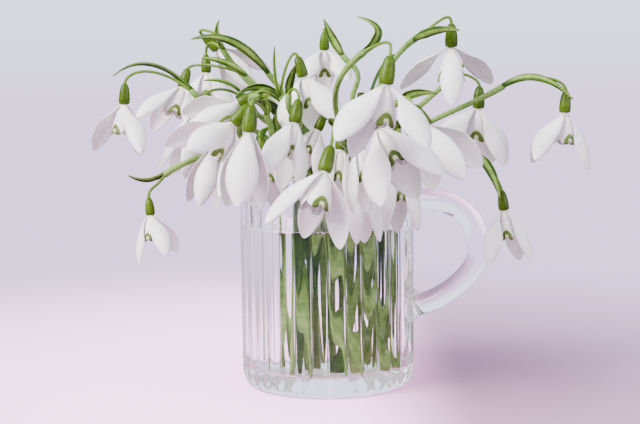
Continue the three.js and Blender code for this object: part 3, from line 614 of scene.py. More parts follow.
class Nodes:
    """Short ways to place and join shader nodes."""

    def __init__(self, tree):
        self.tree = tree

    def make(self, kind, inputs=None, **settings):
        """A node of this kind, its sockets fed by name or number, and its settings set."""
        node = self.tree.nodes.new(kind)
        for key, value in settings.items():
            setattr(node, key, value)
        for key, value in (inputs or {}).items():
            self.feed(node.inputs[key], value)
        return node

    def feed(self, socket, value):
        if isinstance(value, bpy.types.NodeSocket):
            self.tree.links.new(value, socket)
        else:
            socket.default_value = value

    def math(self, operation, a, b=0.0, c=0.0):
        return self.make("ShaderNodeMath", {0: a, 1: b, 2: c}, operation=operation).outputs[0]

    def step(self, value, low, high):
        """0 below low, 1 above high, and smooth between. With low above high it runs the other way."""
        node = self.make("ShaderNodeMapRange", interpolation_type="SMOOTHSTEP")
        flipped = low > high
        for key, number in (("From Min", min(low, high)), ("From Max", max(low, high))):
            node.inputs[key].default_value = number
        node.inputs["To Min"].default_value = 1.0 if flipped else 0.0
        node.inputs["To Max"].default_value = 0.0 if flipped else 1.0
        self.feed(node.inputs["Value"], value)
        return node.outputs["Result"]

    def mix(self, factor, first, second):
        """A colour between two colours."""
        node = self.make("ShaderNodeMix", data_type="RGBA")
        self.feed(node.inputs["Factor"], factor)
        colours = [socket for socket in node.inputs if socket.type == "RGBA"]
        self.feed(colours[0], first)
        self.feed(colours[1], second)
        return next(socket for socket in node.outputs if socket.type == "RGBA")

    def noise(self, vector, scale, detail=2.0):
        """Soft noise from 0 to 1. The scale is in waves to the metre."""
        inputs = {"Vector": vector, "Scale": scale, "Detail": detail}
        return self.make("ShaderNodeTexNoise", inputs).outputs["Fac"]


def group(name, inputs, outputs, build):
    """A shader node group with named sockets. build gets the nodes and the inputs, and gives the outputs."""
    tree = bpy.data.node_groups.new(name, "ShaderNodeTree")
    for socket, (kind, value) in inputs.items():
        made = tree.interface.new_socket(socket, in_out="INPUT", socket_type=kind)
        if value is not None:
            made.default_value = value
    for socket, kind in outputs.items():
        tree.interface.new_socket(socket, in_out="OUTPUT", socket_type=kind)
    nodes = Nodes(tree)
    entry = tree.nodes.new("NodeGroupInput")
    leaving = tree.nodes.new("NodeGroupOutput")
    for socket, value in build(nodes, entry.outputs).items():
        nodes.feed(leaving.inputs[socket], value)
    return tree


def veins_group():
    """Fine lengthwise veins that wander a little."""

    def build(nodes, given):
        wander = nodes.noise(given["Surface"], 260.0)
        bent = nodes.math("MULTIPLY_ADD", wander, 0.06, given["Across"])
        turns = nodes.math("MULTIPLY", given["Veins"], 2 * math.pi)
        wave = nodes.math("SINE", nodes.math("MULTIPLY", bent, turns))
        return {"Ridge": nodes.math("MULTIPLY_ADD", wave, 0.5, 0.5)}

    inputs = {
        "Across": ("NodeSocketFloat", 0.0),
        "Surface": ("NodeSocketVector", None),
        "Veins": ("NodeSocketFloat", 9.0),
    }
    return group("lengthwise veins", inputs, {"Ridge": "NodeSocketFloat"}, build)


def grain_group():
    """A fine unevenness."""

    def build(nodes, given):
        return {"Height": nodes.noise(given["Surface"], given["Scale"], given["Detail"])}

    inputs = {
        "Surface": ("NodeSocketVector", None),
        "Scale": ("NodeSocketFloat", 500.0),
        "Detail": ("NodeSocketFloat", 2.0),
    }
    return group("fine grain", inputs, {"Height": "NodeSocketFloat"}, build)


def midline_group():
    """How far out a corner lies: 0 on the midline of a blade and 1 at its edges."""

    def build(nodes, given):
        side = nodes.math("MULTIPLY_ADD", given["Across"], 2.0, -1.0)
        return {"Out": nodes.math("ABSOLUTE", side)}

    inputs = {"Across": ("NodeSocketFloat", 0.5)}
    return group("out from the midline", inputs, {"Out": "NodeSocketFloat"}, build)


def mottle_group():
    """Living tissue is never one colour: two scales of soft blotches between two shades."""

    def build(nodes, given):
        broad = nodes.noise(given["Surface"], 90.0, 3.0)
        fine = nodes.noise(given["Surface"], 700.0, 2.0)
        both = nodes.math("MULTIPLY_ADD", fine, 0.35, nodes.math("MULTIPLY", broad, 0.65))
        return {"Color": nodes.mix(nodes.step(both, 0.38, 0.62), given["Shade"], given["Light"])}

    inputs = {
        "Surface": ("NodeSocketVector", None),
        "Shade": ("NodeSocketColor", (0.5, 0.5, 0.5, 1.0)),
        "Light": ("NodeSocketColor", (0.8, 0.8, 0.8, 1.0)),
    }
    return group("soft mottle", inputs, {"Color": "NodeSocketColor"}, build)


VEINS = veins_group()
GRAIN = grain_group()
MIDLINE = midline_group()
MOTTLE = mottle_group()

GLASS_IOR = 1.47
WATER_IOR = 1.33
LOST_AFTER = 6.5  # bounces
# The studio colour is painted light: the glow that a clear body gives past that many bounces.
PAINTED_STUDIO_LIGHT = (1.08, 1.0, 1.05, 1.0)


class Finish:
    """One material: its shader, the place on the piece that a corner holds, and the shared effects."""

    def __init__(self, name, **plain):
        self.material = bpy.data.materials.new(name)
        self.material.use_nodes = True
        self.nodes = Nodes(self.material.node_tree)
        self.shader = self.material.node_tree.nodes["Principled BSDF"]
        for socket, value in plain.items():
            self.shader.inputs[socket.replace("_", " ")].default_value = value
        place = self.nodes.make("ShaderNodeUVMap", uv_map="place")
        split = self.nodes.make("ShaderNodeSeparateXYZ", {0: place.outputs[0]})
        self.along = split.outputs[0]
        self.around = split.outputs[1]
        self.surface = self.nodes.make("ShaderNodeTexCoord").outputs["Object"]

    def shared(self, tree, **inputs):
        node = self.nodes.make("ShaderNodeGroup", node_tree=tree)
        for socket, value in inputs.items():
            self.nodes.feed(node.inputs[socket], value)
        return node.outputs

    def mottled(self, shade, light):
        return self.shared(MOTTLE, Surface=self.surface, Shade=shade, Light=light)["Color"]

    def veined(self, count):
        return self.shared(VEINS, Surface=self.surface, Across=self.around, Veins=count)["Ridge"]

    def grained(self, scale, detail=2.0):
        return self.shared(GRAIN, Surface=self.surface, Scale=scale, Detail=detail)["Height"]

    def out(self):
        """How far out from the piece's midline a corner lies."""
        return self.shared(MIDLINE, Across=self.around)["Out"]

    def set(self, socket, value):
        self.nodes.feed(self.shader.inputs[socket], value)

    def bump(self, height, distance, strength=1.0):
        inputs = {"Height": height, "Distance": distance, "Strength": strength}
        self.set("Normal", self.nodes.make("ShaderNodeBump", inputs).outputs[0])

    def painted_light_when_lost(self):
        """Painted light: where light has bounced on for too long in a clear body, the body glows as bright as
        the studio.
        """
        depth = self.nodes.make("ShaderNodeLightPath").outputs["Ray Depth"]
        lost = self.nodes.math("GREATER_THAN", depth, LOST_AFTER)
        studio = self.nodes.make("ShaderNodeEmission", {"Color": PAINTED_STUDIO_LIGHT, "Strength": 1.0})
        inputs = {0: lost, 1: self.shader.outputs[0], 2: studio.outputs[0]}
        mixed = self.nodes.make("ShaderNodeMixShader", inputs)
        self.nodes.feed(self.material.node_tree.nodes["Material Output"].inputs["Surface"], mixed.outputs[0])


VEIN_DEPTH = 0.00008  # metres, as for every bump


def tepal_finish(name):
    """White tissue with a faint warm shade, fine veins, and a creamy green claw."""
    finish = Finish(name, Roughness=0.5, Sheen_Weight=0.12)
    nodes = finish.nodes
    white = finish.mottled(rgb(236, 229, 225), rgb(248, 243, 240))
    ridge = finish.veined(9.0)
    veined = nodes.mix(nodes.math("MULTIPLY", ridge, 0.1), white, rgb(228, 224, 222))
    claw = nodes.step(finish.along, 0.2, 0.0)
    finish.set("Base Color", nodes.mix(nodes.math("MULTIPLY", claw, 0.45), veined, rgb(222, 222, 186)))
    finish.bump(ridge, VEIN_DEPTH, 0.35)
    return finish


# Where the green mark lies on an inner tepal, along it and out from its midline.
MARK = {
    "crown": 0.62,  # its top, on the midline
    "arch": 0.75,  # how fast its top falls off outwards
    "crisp": 0.035,  # how soon it is full below its top
    "side": (0.62, 0.5),
    "notch_top": (0.14, 0.18),  # below the crown
    "notch_side": (0.2, 0.1),
    "halo_top": (-0.07, 0.01),
    "halo_side": (0.74, 0.56),
    "wobble": 0.06,
}


def green_mark(finish):
    """The bold heart round the notch in an inner tepal's tip, two arms that meet above it, and its halo."""
    nodes = finish.nodes
    wobble = nodes.math("MULTIPLY_ADD", finish.grained(500.0), MARK["wobble"], -MARK["wobble"] / 2)
    out = nodes.math("ADD", finish.out(), wobble)
    crown = nodes.math("MULTIPLY_ADD", nodes.math("MULTIPLY", out, out), MARK["arch"], MARK["crown"])
    low = nodes.math("SUBTRACT", finish.along, crown)
    arms = nodes.math("MULTIPLY", nodes.step(low, 0.0, MARK["crisp"]), nodes.step(out, *MARK["side"]))
    notch = nodes.math("MULTIPLY", nodes.step(low, *MARK["notch_top"]), nodes.step(out, *MARK["notch_side"]))
    green = nodes.math("MULTIPLY", arms, nodes.math("SUBTRACT", 1.0, notch))
    halo = nodes.math("MULTIPLY", nodes.step(low, *MARK["halo_top"]), nodes.step(out, *MARK["halo_side"]))
    return green, halo


def inner_finish(name):
    """The inner tepals: as white as the outer, with a green mark that fades out in yellow green."""
    finish = tepal_finish(name)
    nodes = finish.nodes
    white = finish.shader.inputs["Base Color"].links[0].from_socket
    dark = finish.mottled(rgb(62, 84, 0), rgb(90, 112, 6))
    green, halo = green_mark(finish)
    fading = nodes.mix(nodes.math("MULTIPLY", halo, 0.6), white, rgb(178, 196, 60))
    finish.set("Base Color", nodes.mix(green, fading, dark))
    return finish


def striped_inside_finish():
    """The inside of the inner tepals, with broad faint green stripes."""
    finish = Finish("snowdrop inner tepal inside", Roughness=0.5)
    nodes = finish.nodes
    white = finish.mottled(rgb(226, 224, 214), rgb(240, 239, 232))
    stripe = nodes.step(finish.veined(5.0), 0.5, 0.85)
    high = nodes.step(finish.along, 0.25, 0.6)
    mask = nodes.math("MULTIPLY", stripe, nodes.math("MULTIPLY", high, 0.35))
    finish.set("Base Color", nodes.mix(mask, white, rgb(72, 118, 26)))
    return finish


def anther_finish():
    """Dusty orange yellow."""
    finish = Finish("orange yellow anther", Roughness=0.6)
    finish.set("Base Color", finish.mottled(rgb(205, 140, 30), rgb(236, 182, 62)))
    finish.bump(finish.grained(1500.0), 0.00005)
    return finish


def ovary_finish():
    """Waxy olive green, a little darker at the top."""
    finish = Finish("waxy olive ovary", Roughness=0.34, Specular_IOR_Level=0.22)
    nodes = finish.nodes
    green = finish.mottled(rgb(52, 72, 0), rgb(76, 98, 8))
    top = nodes.step(finish.along, 0.35, 0.0)
    finish.set("Base Color", nodes.mix(nodes.math("MULTIPLY", top, 0.5), green, rgb(40, 62, 0)))
    finish.bump(finish.grained(900.0), 0.00006, 0.6)
    return finish


def stem_finish(name, shade, light, line):
    """A smooth stem with faint lengthwise lines."""
    finish = Finish(name, Roughness=0.4, Specular_IOR_Level=0.15)
    nodes = finish.nodes
    green = finish.mottled(shade, light)
    ridge = finish.veined(6.0)
    finish.set("Base Color", nodes.mix(nodes.math("MULTIPLY", ridge, 0.3), green, line))
    finish.bump(ridge, 0.00006, 0.5)
    return finish


def spathe_finish():
    """Two green keels with a pale papery skin between them and along the edges."""
    finish = Finish("spathe with papery skin", Roughness=0.42, Specular_IOR_Level=0.15)
    nodes = finish.nodes
    out = finish.out()
    keel = nodes.math("MULTIPLY", nodes.step(out, 0.28, 0.5), nodes.step(out, 0.98, 0.86))
    green = finish.mottled(rgb(30, 60, 8), rgb(66, 98, 18))
    pale = finish.mottled(rgb(104, 130, 48), rgb(140, 158, 80))
    base = nodes.step(finish.along, 0.22, 0.02)
    mask = nodes.math("MAXIMUM", keel, base)
    finish.set("Base Color", nodes.mix(mask, pale, green))
    finish.bump(finish.veined(7.0), VEIN_DEPTH, 0.5)
    return finish


def leaf_finish():
    """A blue-green strap with a paler channel down the middle."""
    finish = Finish("bloomy green leaf", Roughness=0.42, Specular_IOR_Level=0.15)
    nodes = finish.nodes
    green = finish.mottled(rgb(22, 52, 14), rgb(52, 84, 20))
    out = finish.out()
    channel = nodes.math("MULTIPLY", nodes.step(out, 0.24, 0.08), 0.55)
    finish.set("Base Color", nodes.mix(channel, green, rgb(94, 124, 40)))
    finish.bump(finish.veined(11.0), VEIN_DEPTH, 0.5)
    return finish


def glass_finish(name, ior):
    """Clear pressed glass, a little uneven."""
    finish = Finish(name, Roughness=0.03, IOR=ior, Transmission_Weight=1.0)
    finish.shader.inputs["Base Color"].default_value = (0.975, 0.98, 0.985, 1.0)
    finish.bump(finish.grained(60.0, 1.0), 0.0003, 0.35)
    finish.painted_light_when_lost()
    return finish


def water_finish(name, ior):
    """Clear water with a faint green tint."""
    finish = Finish(name, Roughness=0.0, IOR=ior, Transmission_Weight=1.0)
    finish.shader.inputs["Base Color"].default_value = (0.97, 0.985, 0.97, 1.0)
    finish.bump(finish.grained(40.0, 1.0), 0.0002, 0.2)
    finish.painted_light_when_lost()
    return finish


# ---- The flower: outer tepals, inner cup and stamens --------------------------------------------------

TEPAL = {"edge": 0.16, "thick": 0.5, "ripple": 0.05, "ripples": 5}
CUP = {"seat": 0.85, "half_angle": 62.0, "overlap": 0.16, "flare": 0.3, "thick": 0.34, "thinner": 0.16}
NOTCH = {"deep": 0.13, "half_width": 0.2, "shoulder": 0.2}
FINISH_OF = {"outer": 0, "inner": 1, "inside": 2}


def tepal_shell(surface, bloom, hanging, tepal):
    """An outer tepal, thickest along its middle and rippled by its veins."""

    def corner(u, v):
        point, normal = outer_tepal(bloom, hanging, tepal, u, v)
        ripple = TEPAL["ripple"] * math.cos(v * math.pi * TEPAL["ripples"]) * math.sin(math.pi * u)
        half = (TEPAL["edge"] + (TEPAL["thick"] - TEPAL["edge"]) * (1 - v * v) * (1 - u**6)) / 2
        return point + normal * (half + ripple), point - normal * (half - ripple), (u, (v + 1) / 2)

    levels = [min(math.sin(0.5 * math.pi * t), 0.998) for t in np.linspace(0, 1, 17)]
    surface.blade(levels, 9, corner, FINISH_OF["outer"], FINISH_OF["outer"])


def inner_tepal_shell(surface, bloom, hanging, tepal):
    """One of the three inner tepals. It overlaps the next, and its tip is notched."""
    mouth = cup_mouth(bloom)
    seat = SEAT_RADIUS * CUP["seat"]
    length = bloom["long"] * INNER["length"]
    top = (GAP + BLADE) * 0.6

    def corner(t, s):
        notch = NOTCH["deep"] * math.exp(-((s / NOTCH["half_width"]) ** 2))
        reach = t * (1 - notch - NOTCH["shoulder"] * abs(s) ** 3.5)
        azimuth = math.radians(bloom["turn"] + 60 + 120 * tepal + CUP["half_angle"] * s)
        radius = seat + (mouth - seat) * (1 - (1 - reach) ** 2)
        radius += CUP["overlap"] * (s - 1) + CUP["flare"] * reach**8
        drop = top + (length - top) * reach
        thick = CUP["thick"] - CUP["thinner"] * reach**4
        outer = hanging.point(azimuth, radius, drop)
        return outer, hanging.point(azimuth, radius - thick, drop), (reach, (s + 1) / 2)

    surface.blade(np.linspace(0, 1, 11), 15, corner, FINISH_OF["inner"], FINISH_OF["inside"])


def turned(surface, hanging, profile, sides, finish, along=(0.0, 1.0), lobes=0.0):
    """A body of revolution about the flower's axis, from a profile of radius and drop."""
    rings = []
    for radius, drop in profile:
        turns = 2 * math.pi * np.arange(sides) / sides
        rings.append([hanging.point(turn, radius * (1 + lobes * math.cos(3 * turn)), drop) for turn in turns])
    surface.tube(rings, finish, along)


def receptacle(surface, hanging):
    """The white-green seat between the ovary and the tepals."""
    profile = [(0.9, 0.0), (1.3, 0.15), (1.42, 0.5), (1.3, 1.1), (0.9, 1.6)]
    turned(surface, hanging, profile, 14, FINISH_OF["outer"], (0.0, 0.1))


def petals(index, bloom, finishes):
    """All that is white of a flower."""
    surface = Surface()
    hanging = Hanging(bloom)
    for tepal in range(3):
        tepal_shell(surface, bloom, hanging, tepal)
        inner_tepal_shell(surface, bloom, hanging, tepal)
    receptacle(surface, hanging)
    return surface.piece(f"petals_{index:02d}", finishes, "tepal", f"tepals_{index:02d}")


def stamens(index, bloom, finish):
    """Six anthers that lean together in a cone round the style."""
    surface = Surface()
    hanging = Hanging(bloom)
    base = bloom["long"] * INNER["floor"] * 0.5
    tip = bloom["long"] * INNER["stamens"] * 0.86
    profile = [(0.12, 0.0), (0.42, 0.2), (0.46, 0.5), (0.3, 0.8), (0.06, 1.0)]
    apart = {"base": 0.87, "tip": 0.12}
    for anther in range(6):
        turn = math.radians(bloom["turn"] + 60 * anther)
        out = hanging.outward(turn)
        rings = []
        for radius, share in profile:
            reach = apart["base"] + (apart["tip"] - apart["base"]) * share
            centre = hanging.point(turn, reach, base + (tip - base) * share)
            rings.append(ring_of(centre, out, hanging.axis, [radius] * 7))
        surface.tube(rings, 0)
    return surface.piece(f"stamens_{index:02d}", [finish], "tepal", f"tepals_{index:02d}")


# ---- The green stalk ----------------------------------------------------------------------------------


def ovary_profile(bloom):
    """Radius and drop from the ovary's rounded top to its foot."""
    length = OVARY["length"] * bloom["long"]
    widest = OVARY["radius"] * bloom["long"]
    shares = [1.0, 0.985, 0.94, 0.86, 0.74, 0.6, 0.45, 0.3, 0.16, 0.06, 0.015, 0.0]
    widths = [0.24, 0.4, 0.56, 0.69, 0.81, 0.9, 0.96, 1.0, 1.0, 0.96, 0.88, 0.72]
    return [(widest * width, -length * share) for share, width in zip(shares, widths)]


def stem_rings(line, radii, first_side, sides):
    """Rings along a stem, which is very faintly three-sided."""
    tangents = tangents_of(line)
    directions = carried(first_side, tangents)
    ribs = 1 + 0.03 * np.cos(3 * 2 * math.pi * np.arange(sides) / sides)
    return [ring_of(c, d, t, r * ribs) for c, d, t, r in zip(line, directions, tangents, radii)]


def scape(surface, bloom, hanging, route, finish):
    """The leafless stem from its cut foot in the water to its node, which it swells to and rounds off."""
    rise, _ = node_frame(bloom, hanging)
    line = smooth_line([foot_of(route[0]), *route], 56)
    radii = np.full(len(line), SCAPE_RADIUS)
    radii[-5:] = np.linspace(SCAPE_RADIUS, NODE_RADIUS, 5)
    end = line[-1] + rise * np.array([[0.5], [0.9]])
    rings = stem_rings(np.vstack([line, end]), [*radii, 1.05, 0.7], vec([1, 0, 0]), 12)
    surface.tube(rings, finish)


def pedicel(surface, bloom, hanging, finish):
    """The thin stem that the flower hangs by, thicker where it leaves the node and meets the ovary."""
    controls = pedicel_controls(bloom, hanging)
    line = np.array([bezier(controls, t) for t in np.linspace(0, 1, 26)])
    line = np.vstack([line, line[-1] + hanging.axis * 0.4])
    radii = np.full(len(line), PEDICEL_RADIUS)
    radii[:4] = [0.85, 0.75, 0.65, 0.6]
    radii[-4:] = [0.58, 0.64, 0.72, 0.72]
    surface.tube(stem_rings(line, radii, vec([0, 1, 0]), 9), finish)


SPATHE = {"edge": 0.22, "thicker": 0.16, "keel": 0.12, "keel_at": 0.68, "keel_width": 0.2}


def spathe(surface, bloom, hanging, finish):
    """The sheath over the flower: wrapped round the node at its foot, two-keeled, and pointed."""
    rows = 22
    controls = spathe_controls(bloom)
    _, side_of_node = node_frame(bloom, hanging)
    line = np.array([bezier(controls, t) for t in np.linspace(0, 1, rows)])
    tangents = tangents_of(line)
    normals = carried(side_of_node, tangents)

    def corner(row, v):
        t = row / (rows - 1)
        normal = normals[row]
        lateral = np.cross(normal, tangents[row])
        half = np.interp(t, np.linspace(0, 1, len(SPATHE_WIDTHS)), SPATHE_WIDTHS) * (1 - 0.6 * t**8)
        wrap = 0.3 + 0.9 * (1 - clamp(t / 0.25)) + 0.25 * t
        middle = line[row] + normal * (1.15 * (1 - t) + 0.05)
        point = middle + lateral * half * v - normal * wrap * half * v * v
        facing = unit(normal + lateral * 2 * wrap * v)
        keel = SPATHE["keel"] * math.exp(-(((abs(v) - SPATHE["keel_at"]) / SPATHE["keel_width"]) ** 2))
        thick = SPATHE["edge"] + SPATHE["thicker"] * (1 - v * v)
        return point + facing * (thick / 2 + keel), point - facing * thick / 2, (t, (v + 1) / 2)

    surface.blade(range(rows), 9, corner, finish, finish)


def stalk(index, bloom, route, finishes):
    """All that is green of a flower. The finishes are those of its scape, pedicel, spathe and ovary."""
    surface = Surface()
    hanging = Hanging(bloom)
    scape(surface, bloom, hanging, route, 0)
    pedicel(surface, bloom, hanging, 1)
    spathe(surface, bloom, hanging, 2)
    turned(surface, hanging, ovary_profile(bloom), 20, 3, lobes=0.02)
    return surface.piece(f"stem_{index:02d}", finishes, "stalk", f"stalk_{index:02d}")


# ---- Leaves -------------------------------------------------------------------------------------------


def leaf(index, route, finish):
    """A strap with a shallow channel: narrow at its cut foot, widest past the mouth, and blunt at its tip."""
    surface = Surface()
    foot = foot_of(route[0])
    line = smooth_line([foot, *route], 60)
    tangents = tangents_of(line)
    whole = route[-1] - route[0]
    first = across(np.cross(UP, vec([whole[0], whole[1], 0])), tangents[0])
    sides = carried(first, tangents)
    below = np.linalg.norm(route[0] - foot)
    run = np.concatenate([[0], np.cumsum(np.linalg.norm(np.diff(line, axis=0), axis=1))])

    def half_width(row):
        if run[row] < below:
            return LEAF["foot"] + (LEAF["mouth"] - LEAF["foot"]) * run[row] / below
        t = (run[row] - below) / (run[-1] - below)
        half = LEAF["mouth"] + (LEAF["widest"] - LEAF["mouth"]) * clamp(t / 0.3)
        return half * math.sqrt(max(1 - clamp((t - 0.55) / 0.45) ** 2.2, 0.02))

    def corner(row, v):
        half = half_width(row)
        side = sides[row]
        normal = np.cross(tangents[row], side)
        channel = LEAF["keel"] * (0.5 - v * v)
        point = line[row] + side * half * v + normal * channel
        facing = unit(normal + side * 2 * LEAF["keel"] * v / half)
        thick = LEAF["edge"] + LEAF["thicker"] * (1 - v * v)
        return point + facing * thick / 2, point - facing * thick / 2, (run[row] / run[-1], (v + 1) / 2)

    surface.blade(range(len(line)), 9, corner, 0, 0)
    return surface.piece(f"strap_leaf_{index:02d}", [finish], "leaf", f"leaf_{index:02d}")


# ---- The glass mug and the water ----------------------------------------------------------------------

RIB_SIDES = 8  # points to one rib
WATER_SIDES = 128


def rib_radius(radius, depth, turn):
    """A flute between two ribs: round ridges with narrow valleys."""
    wave = 0.5 - 0.5 * math.cos(turn * MUG["ribs"])
    return radius - depth * (1 - wave**0.6)


def mug_profile():
    """Radius, height and share of the ribs' depth, from the middle of the underside up and down inside."""
    r = MUG["radius"]
    h = MUG["height"]
    inner = r - MUG["wall"]
    outside = [
        (0.05, 0.9, 0),
        (23.5, 0.9, 0),
        (25.0, 0.2, 0),
        (26.5, 0.0, 0),
        (MUG["foot"] - 0.3, 0.0, 0),
        (r - 1.6, 1.1, 0),
        (r - 0.85, 2.6, 0.15),
        (r - 0.4, MUG["rib_start"] - 1.2, 0.6),
        (r, MUG["rib_start"] + 0.6, 1),
        (r, 14, 1),
        (r, 30, 1),
        (r, 52, 1),
        (r, MUG["rib_end"] - 2.0, 1),
        (r, MUG["rib_end"], 0.55),
        (r - 0.45, MUG["rib_end"] + 1.2, 0.1),
        (r - 0.6, h - 2.4, 0),
        (r - 0.65, h - 1.2, 0),
        (r - 1.0, h - 0.35, 0),
        (r - 1.75, h - 0.02, 0),
    ]
    inside = [
        (inner + 0.45, h - 0.45, 0),
        (inner + 0.05, h - 1.6, 0),
        (inner, h - 4, 0),
        (inner, WATER_LEVEL - 0.2, 0),
        (inner, 40, 0),
        (inner, MUG["floor"] + 5.5, 0),
        (inner - 0.4, MUG["floor"] + 3.0, 0),
        (inner - 1.7, MUG["floor"] + 1.1, 0),
        (inner - 4.0, MUG["floor"] + 0.2, 0),
        (16.0, MUG["floor"] + 0.1, 0),
        (0.05, MUG["floor"] + 0.6, 0),
    ]
    return outside + inside


def ringed(surface, profile, sides, finish):
    """A body turned about the mug's axis, with its ribs where the profile has them."""
    turns = 2 * math.pi * np.arange(sides) / sides
    rings = []
    for radius, height, ribbing in profile:
        radii = [rib_radius(radius, MUG["rib_depth"] * ribbing, turn) for turn in turns]
        rings.append([vec([r * math.cos(a), r * math.sin(a), height]) for r, a in zip(radii, turns)])
    surface.tube(rings, finish)


def handle_out():
    azimuth = math.radians(HANDLE["azimuth"])
    return vec([math.cos(azimuth), math.sin(azimuth), 0])


def handle_rings():
    """The handle, oval in section, along its line."""
    out = handle_out()
    line = smooth_line([out * reach + UP * z for reach, z in HANDLE["line"]], 44)
    level = np.cross(UP, out)
    turns = 2 * math.pi * np.arange(24) / 24
    rings = []
    for centre, tangent in zip(line, tangents_of(line)):
        half_wide = level * HANDLE["wide"] / 2
        half_thick = np.cross(level, tangent) * HANDLE["thick"] / 2
        rings.append([centre + half_wide * math.cos(turn) + half_thick * math.sin(turn) for turn in turns])
    return rings


def handle_root_rings():
    """The flattened lump of glass where the handle's lower end was pressed onto the mug."""
    root = HANDLE["root"]
    out = handle_out()
    rings = []
    for turn in np.linspace(0.04, math.pi - 0.04, 17):
        depth = root["radius"] * root["flat"]
        centre = out * (root["reach"] - depth * math.cos(turn)) + UP * root["z"]
        rings.append(ring_of(centre, UP, out, [root["radius"] * math.sin(turn)] * 32))
    return rings


def fuse(piece, rings, finishes):
    """Joins a closed tube to a piece, as one body."""
    surface = Surface()
    surface.tube(rings, 0)
    joined = surface.piece("addition", finishes, "glass", "mug")
    union = piece.modifiers.new("union", "BOOLEAN")
    union.operation = "UNION"
    union.object = joined
    union.solver = "EXACT"
    shape = bpy.data.meshes.new_from_object(piece.evaluated_get(bpy.context.evaluated_depsgraph_get()))
    piece.modifiers.clear()
    piece.data = shape
    bpy.data.objects.remove(joined)


def mug(finishes):
    """The mug. Below the water's level, its inside bends light as glass does against water."""
    body = Surface()
    ringed(body, mug_profile(), MUG["ribs"] * RIB_SIDES, 0)
    piece = body.piece("ribbed_glass_mug", finishes, "glass", "mug")
    fuse(piece, handle_rings(), finishes)
    fuse(piece, handle_root_rings(), finishes)
    inside = MUG["radius"] - MUG["wall"] + 0.2
    for polygon in piece.data.polygons:
        polygon.use_smooth = True
        x, y, z = (c / MM for c in polygon.center)
        if math.hypot(x, y) < inside and MUG["floor"] - 1 < z < WATER_LEVEL - 0.2:
            polygon.material_index = 1
    return piece


def water(finishes):
    """The water wets the glass: it reaches a hair into the wall, and creeps up it at the surface. Where it
    lies against the glass, only the glass's own face bends the light."""
    wet = MUG["radius"] - MUG["wall"] + 0.12
    below = [
        (0.05, MUG["floor"] + 0.48),
        (16.0, MUG["floor"] - 0.02),
        (wet - 4.0, MUG["floor"] + 0.08),
        (wet - 1.7, MUG["floor"] + 0.98),
        (wet - 0.4, MUG["floor"] + 2.9),
        (wet, MUG["floor"] + 5.5),
        (wet, 34.0),
        (wet, WATER_LEVEL - 0.1),
    ]
    above = [
        (wet - 0.5, WATER_LEVEL - 0.5),
        (wet - 1.3, WATER_LEVEL - 0.8),
        (wet - 3.0, WATER_LEVEL - 0.95),
        (0.05, WATER_LEVEL - 1.0),
    ]
    surface = Surface()
    ringed(surface, [(radius, height, 0) for radius, height in below + above], WATER_SIDES, 0)
    against_glass = (len(below) - 1) * WATER_SIDES
    surface.finishes[:against_glass] = [1] * against_glass
    return surface.piece("water_in_mug", finishes, "water", "water")


# ---- Floor, light and camera --------------------------------------------------------------------------

# The floor's shade colour is painted shade, and its glow is painted light: a pink emission on the left.
FLOOR_COLOUR = (0.88, 0.66, 0.84, 1.0)
FLOOR_PAINTED_SHADE = (0.46, 0.24, 0.37, 1.0)
FLOOR_PAINTED_LIGHT = (2.2, 0.7, 1.7, 1.0)
HAZE_COLOUR = (1.68, 1.36, 2.1, 1.0)
HORIZON_COLOUR = (1.72, 1.7, 2.25, 1.0)
ZENITH_COLOUR = (1.8, 1.95, 2.4, 1.0)
BLACK = (0.0, 0.0, 0.0, 1.0)
SHADE_EDGE = (0.0, 0.055)  # metres to the right, from the painted light to the painted shade
HAZE_EDGE = (0.05, 0.34)  # metres out, from the floor to the haze
HORIZON_EDGE = (0.8, 8.0)
MIRRORED_LESS = 0.8
SCATTERED_LESS = {"floor": 0.65, "sky": 0.4}


def indirect_dimming(nodes, scattered_less):
    """How much of the surroundings' light is held back from what only mirrors or scatters it."""
    rays = nodes.make("ShaderNodeLightPath")
    through = nodes.math("SUBTRACT", 1.0, rays.outputs["Is Transmission Ray"])
    glossy = nodes.math("MULTIPLY", rays.outputs["Is Glossy Ray"], through)
    mirrored = nodes.math("MULTIPLY", glossy, MIRRORED_LESS)
    scattered = nodes.math("MULTIPLY", rays.outputs["Is Diffuse Ray"], scattered_less)
    return nodes.math("MAXIMUM", mirrored, scattered)


def floor_finish():
    """Painted light on the left, where the floor glows pink, and painted shade on the right, where its colour
    is darker, and the sky's own colour far away.
    """
    material = bpy.data.materials.new("pale lilac floor")
    material.use_nodes = True
    nodes = Nodes(material.node_tree)
    shader = material.node_tree.nodes["Principled BSDF"]
    shader.inputs["Roughness"].default_value = 0.7
    shader.inputs["Emission Strength"].default_value = 1.0
    place = nodes.make("ShaderNodeTexCoord").outputs["Object"]
    across_floor = nodes.make("ShaderNodeSeparateXYZ", {0: place}).outputs[0]
    # Painted shade: the colour darkens to the right. Painted light: the floor glows pink on the left and not
    # on the right.
    right = nodes.step(across_floor, *SHADE_EDGE)
    nodes.feed(shader.inputs["Base Color"], nodes.mix(right, FLOOR_COLOUR, FLOOR_PAINTED_SHADE))
    nodes.feed(shader.inputs["Emission Color"], nodes.mix(right, FLOOR_PAINTED_LIGHT, BLACK))
    distance = nodes.make("ShaderNodeVectorMath", {0: place}, operation="LENGTH").outputs["Value"]
    far = nodes.step(distance, *HAZE_EDGE)
    haze = nodes.mix(nodes.step(distance, *HORIZON_EDGE), HAZE_COLOUR, HORIZON_COLOUR)
    glow = nodes.make("ShaderNodeEmission", {"Color": haze, "Strength": 1.0})
    both = nodes.make("ShaderNodeMixShader", {0: far, 1: shader.outputs[0], 2: glow.outputs[0]})
    dark = nodes.make("ShaderNodeEmission", {"Strength": 0.0})
    less = indirect_dimming(nodes, SCATTERED_LESS["floor"])
    dimmed = nodes.make("ShaderNodeMixShader", {0: less, 1: both.outputs[0], 2: dark.outputs[0]})
    nodes.feed(material.node_tree.nodes["Material Output"].inputs["Surface"], dimmed.outputs[0])
    return material


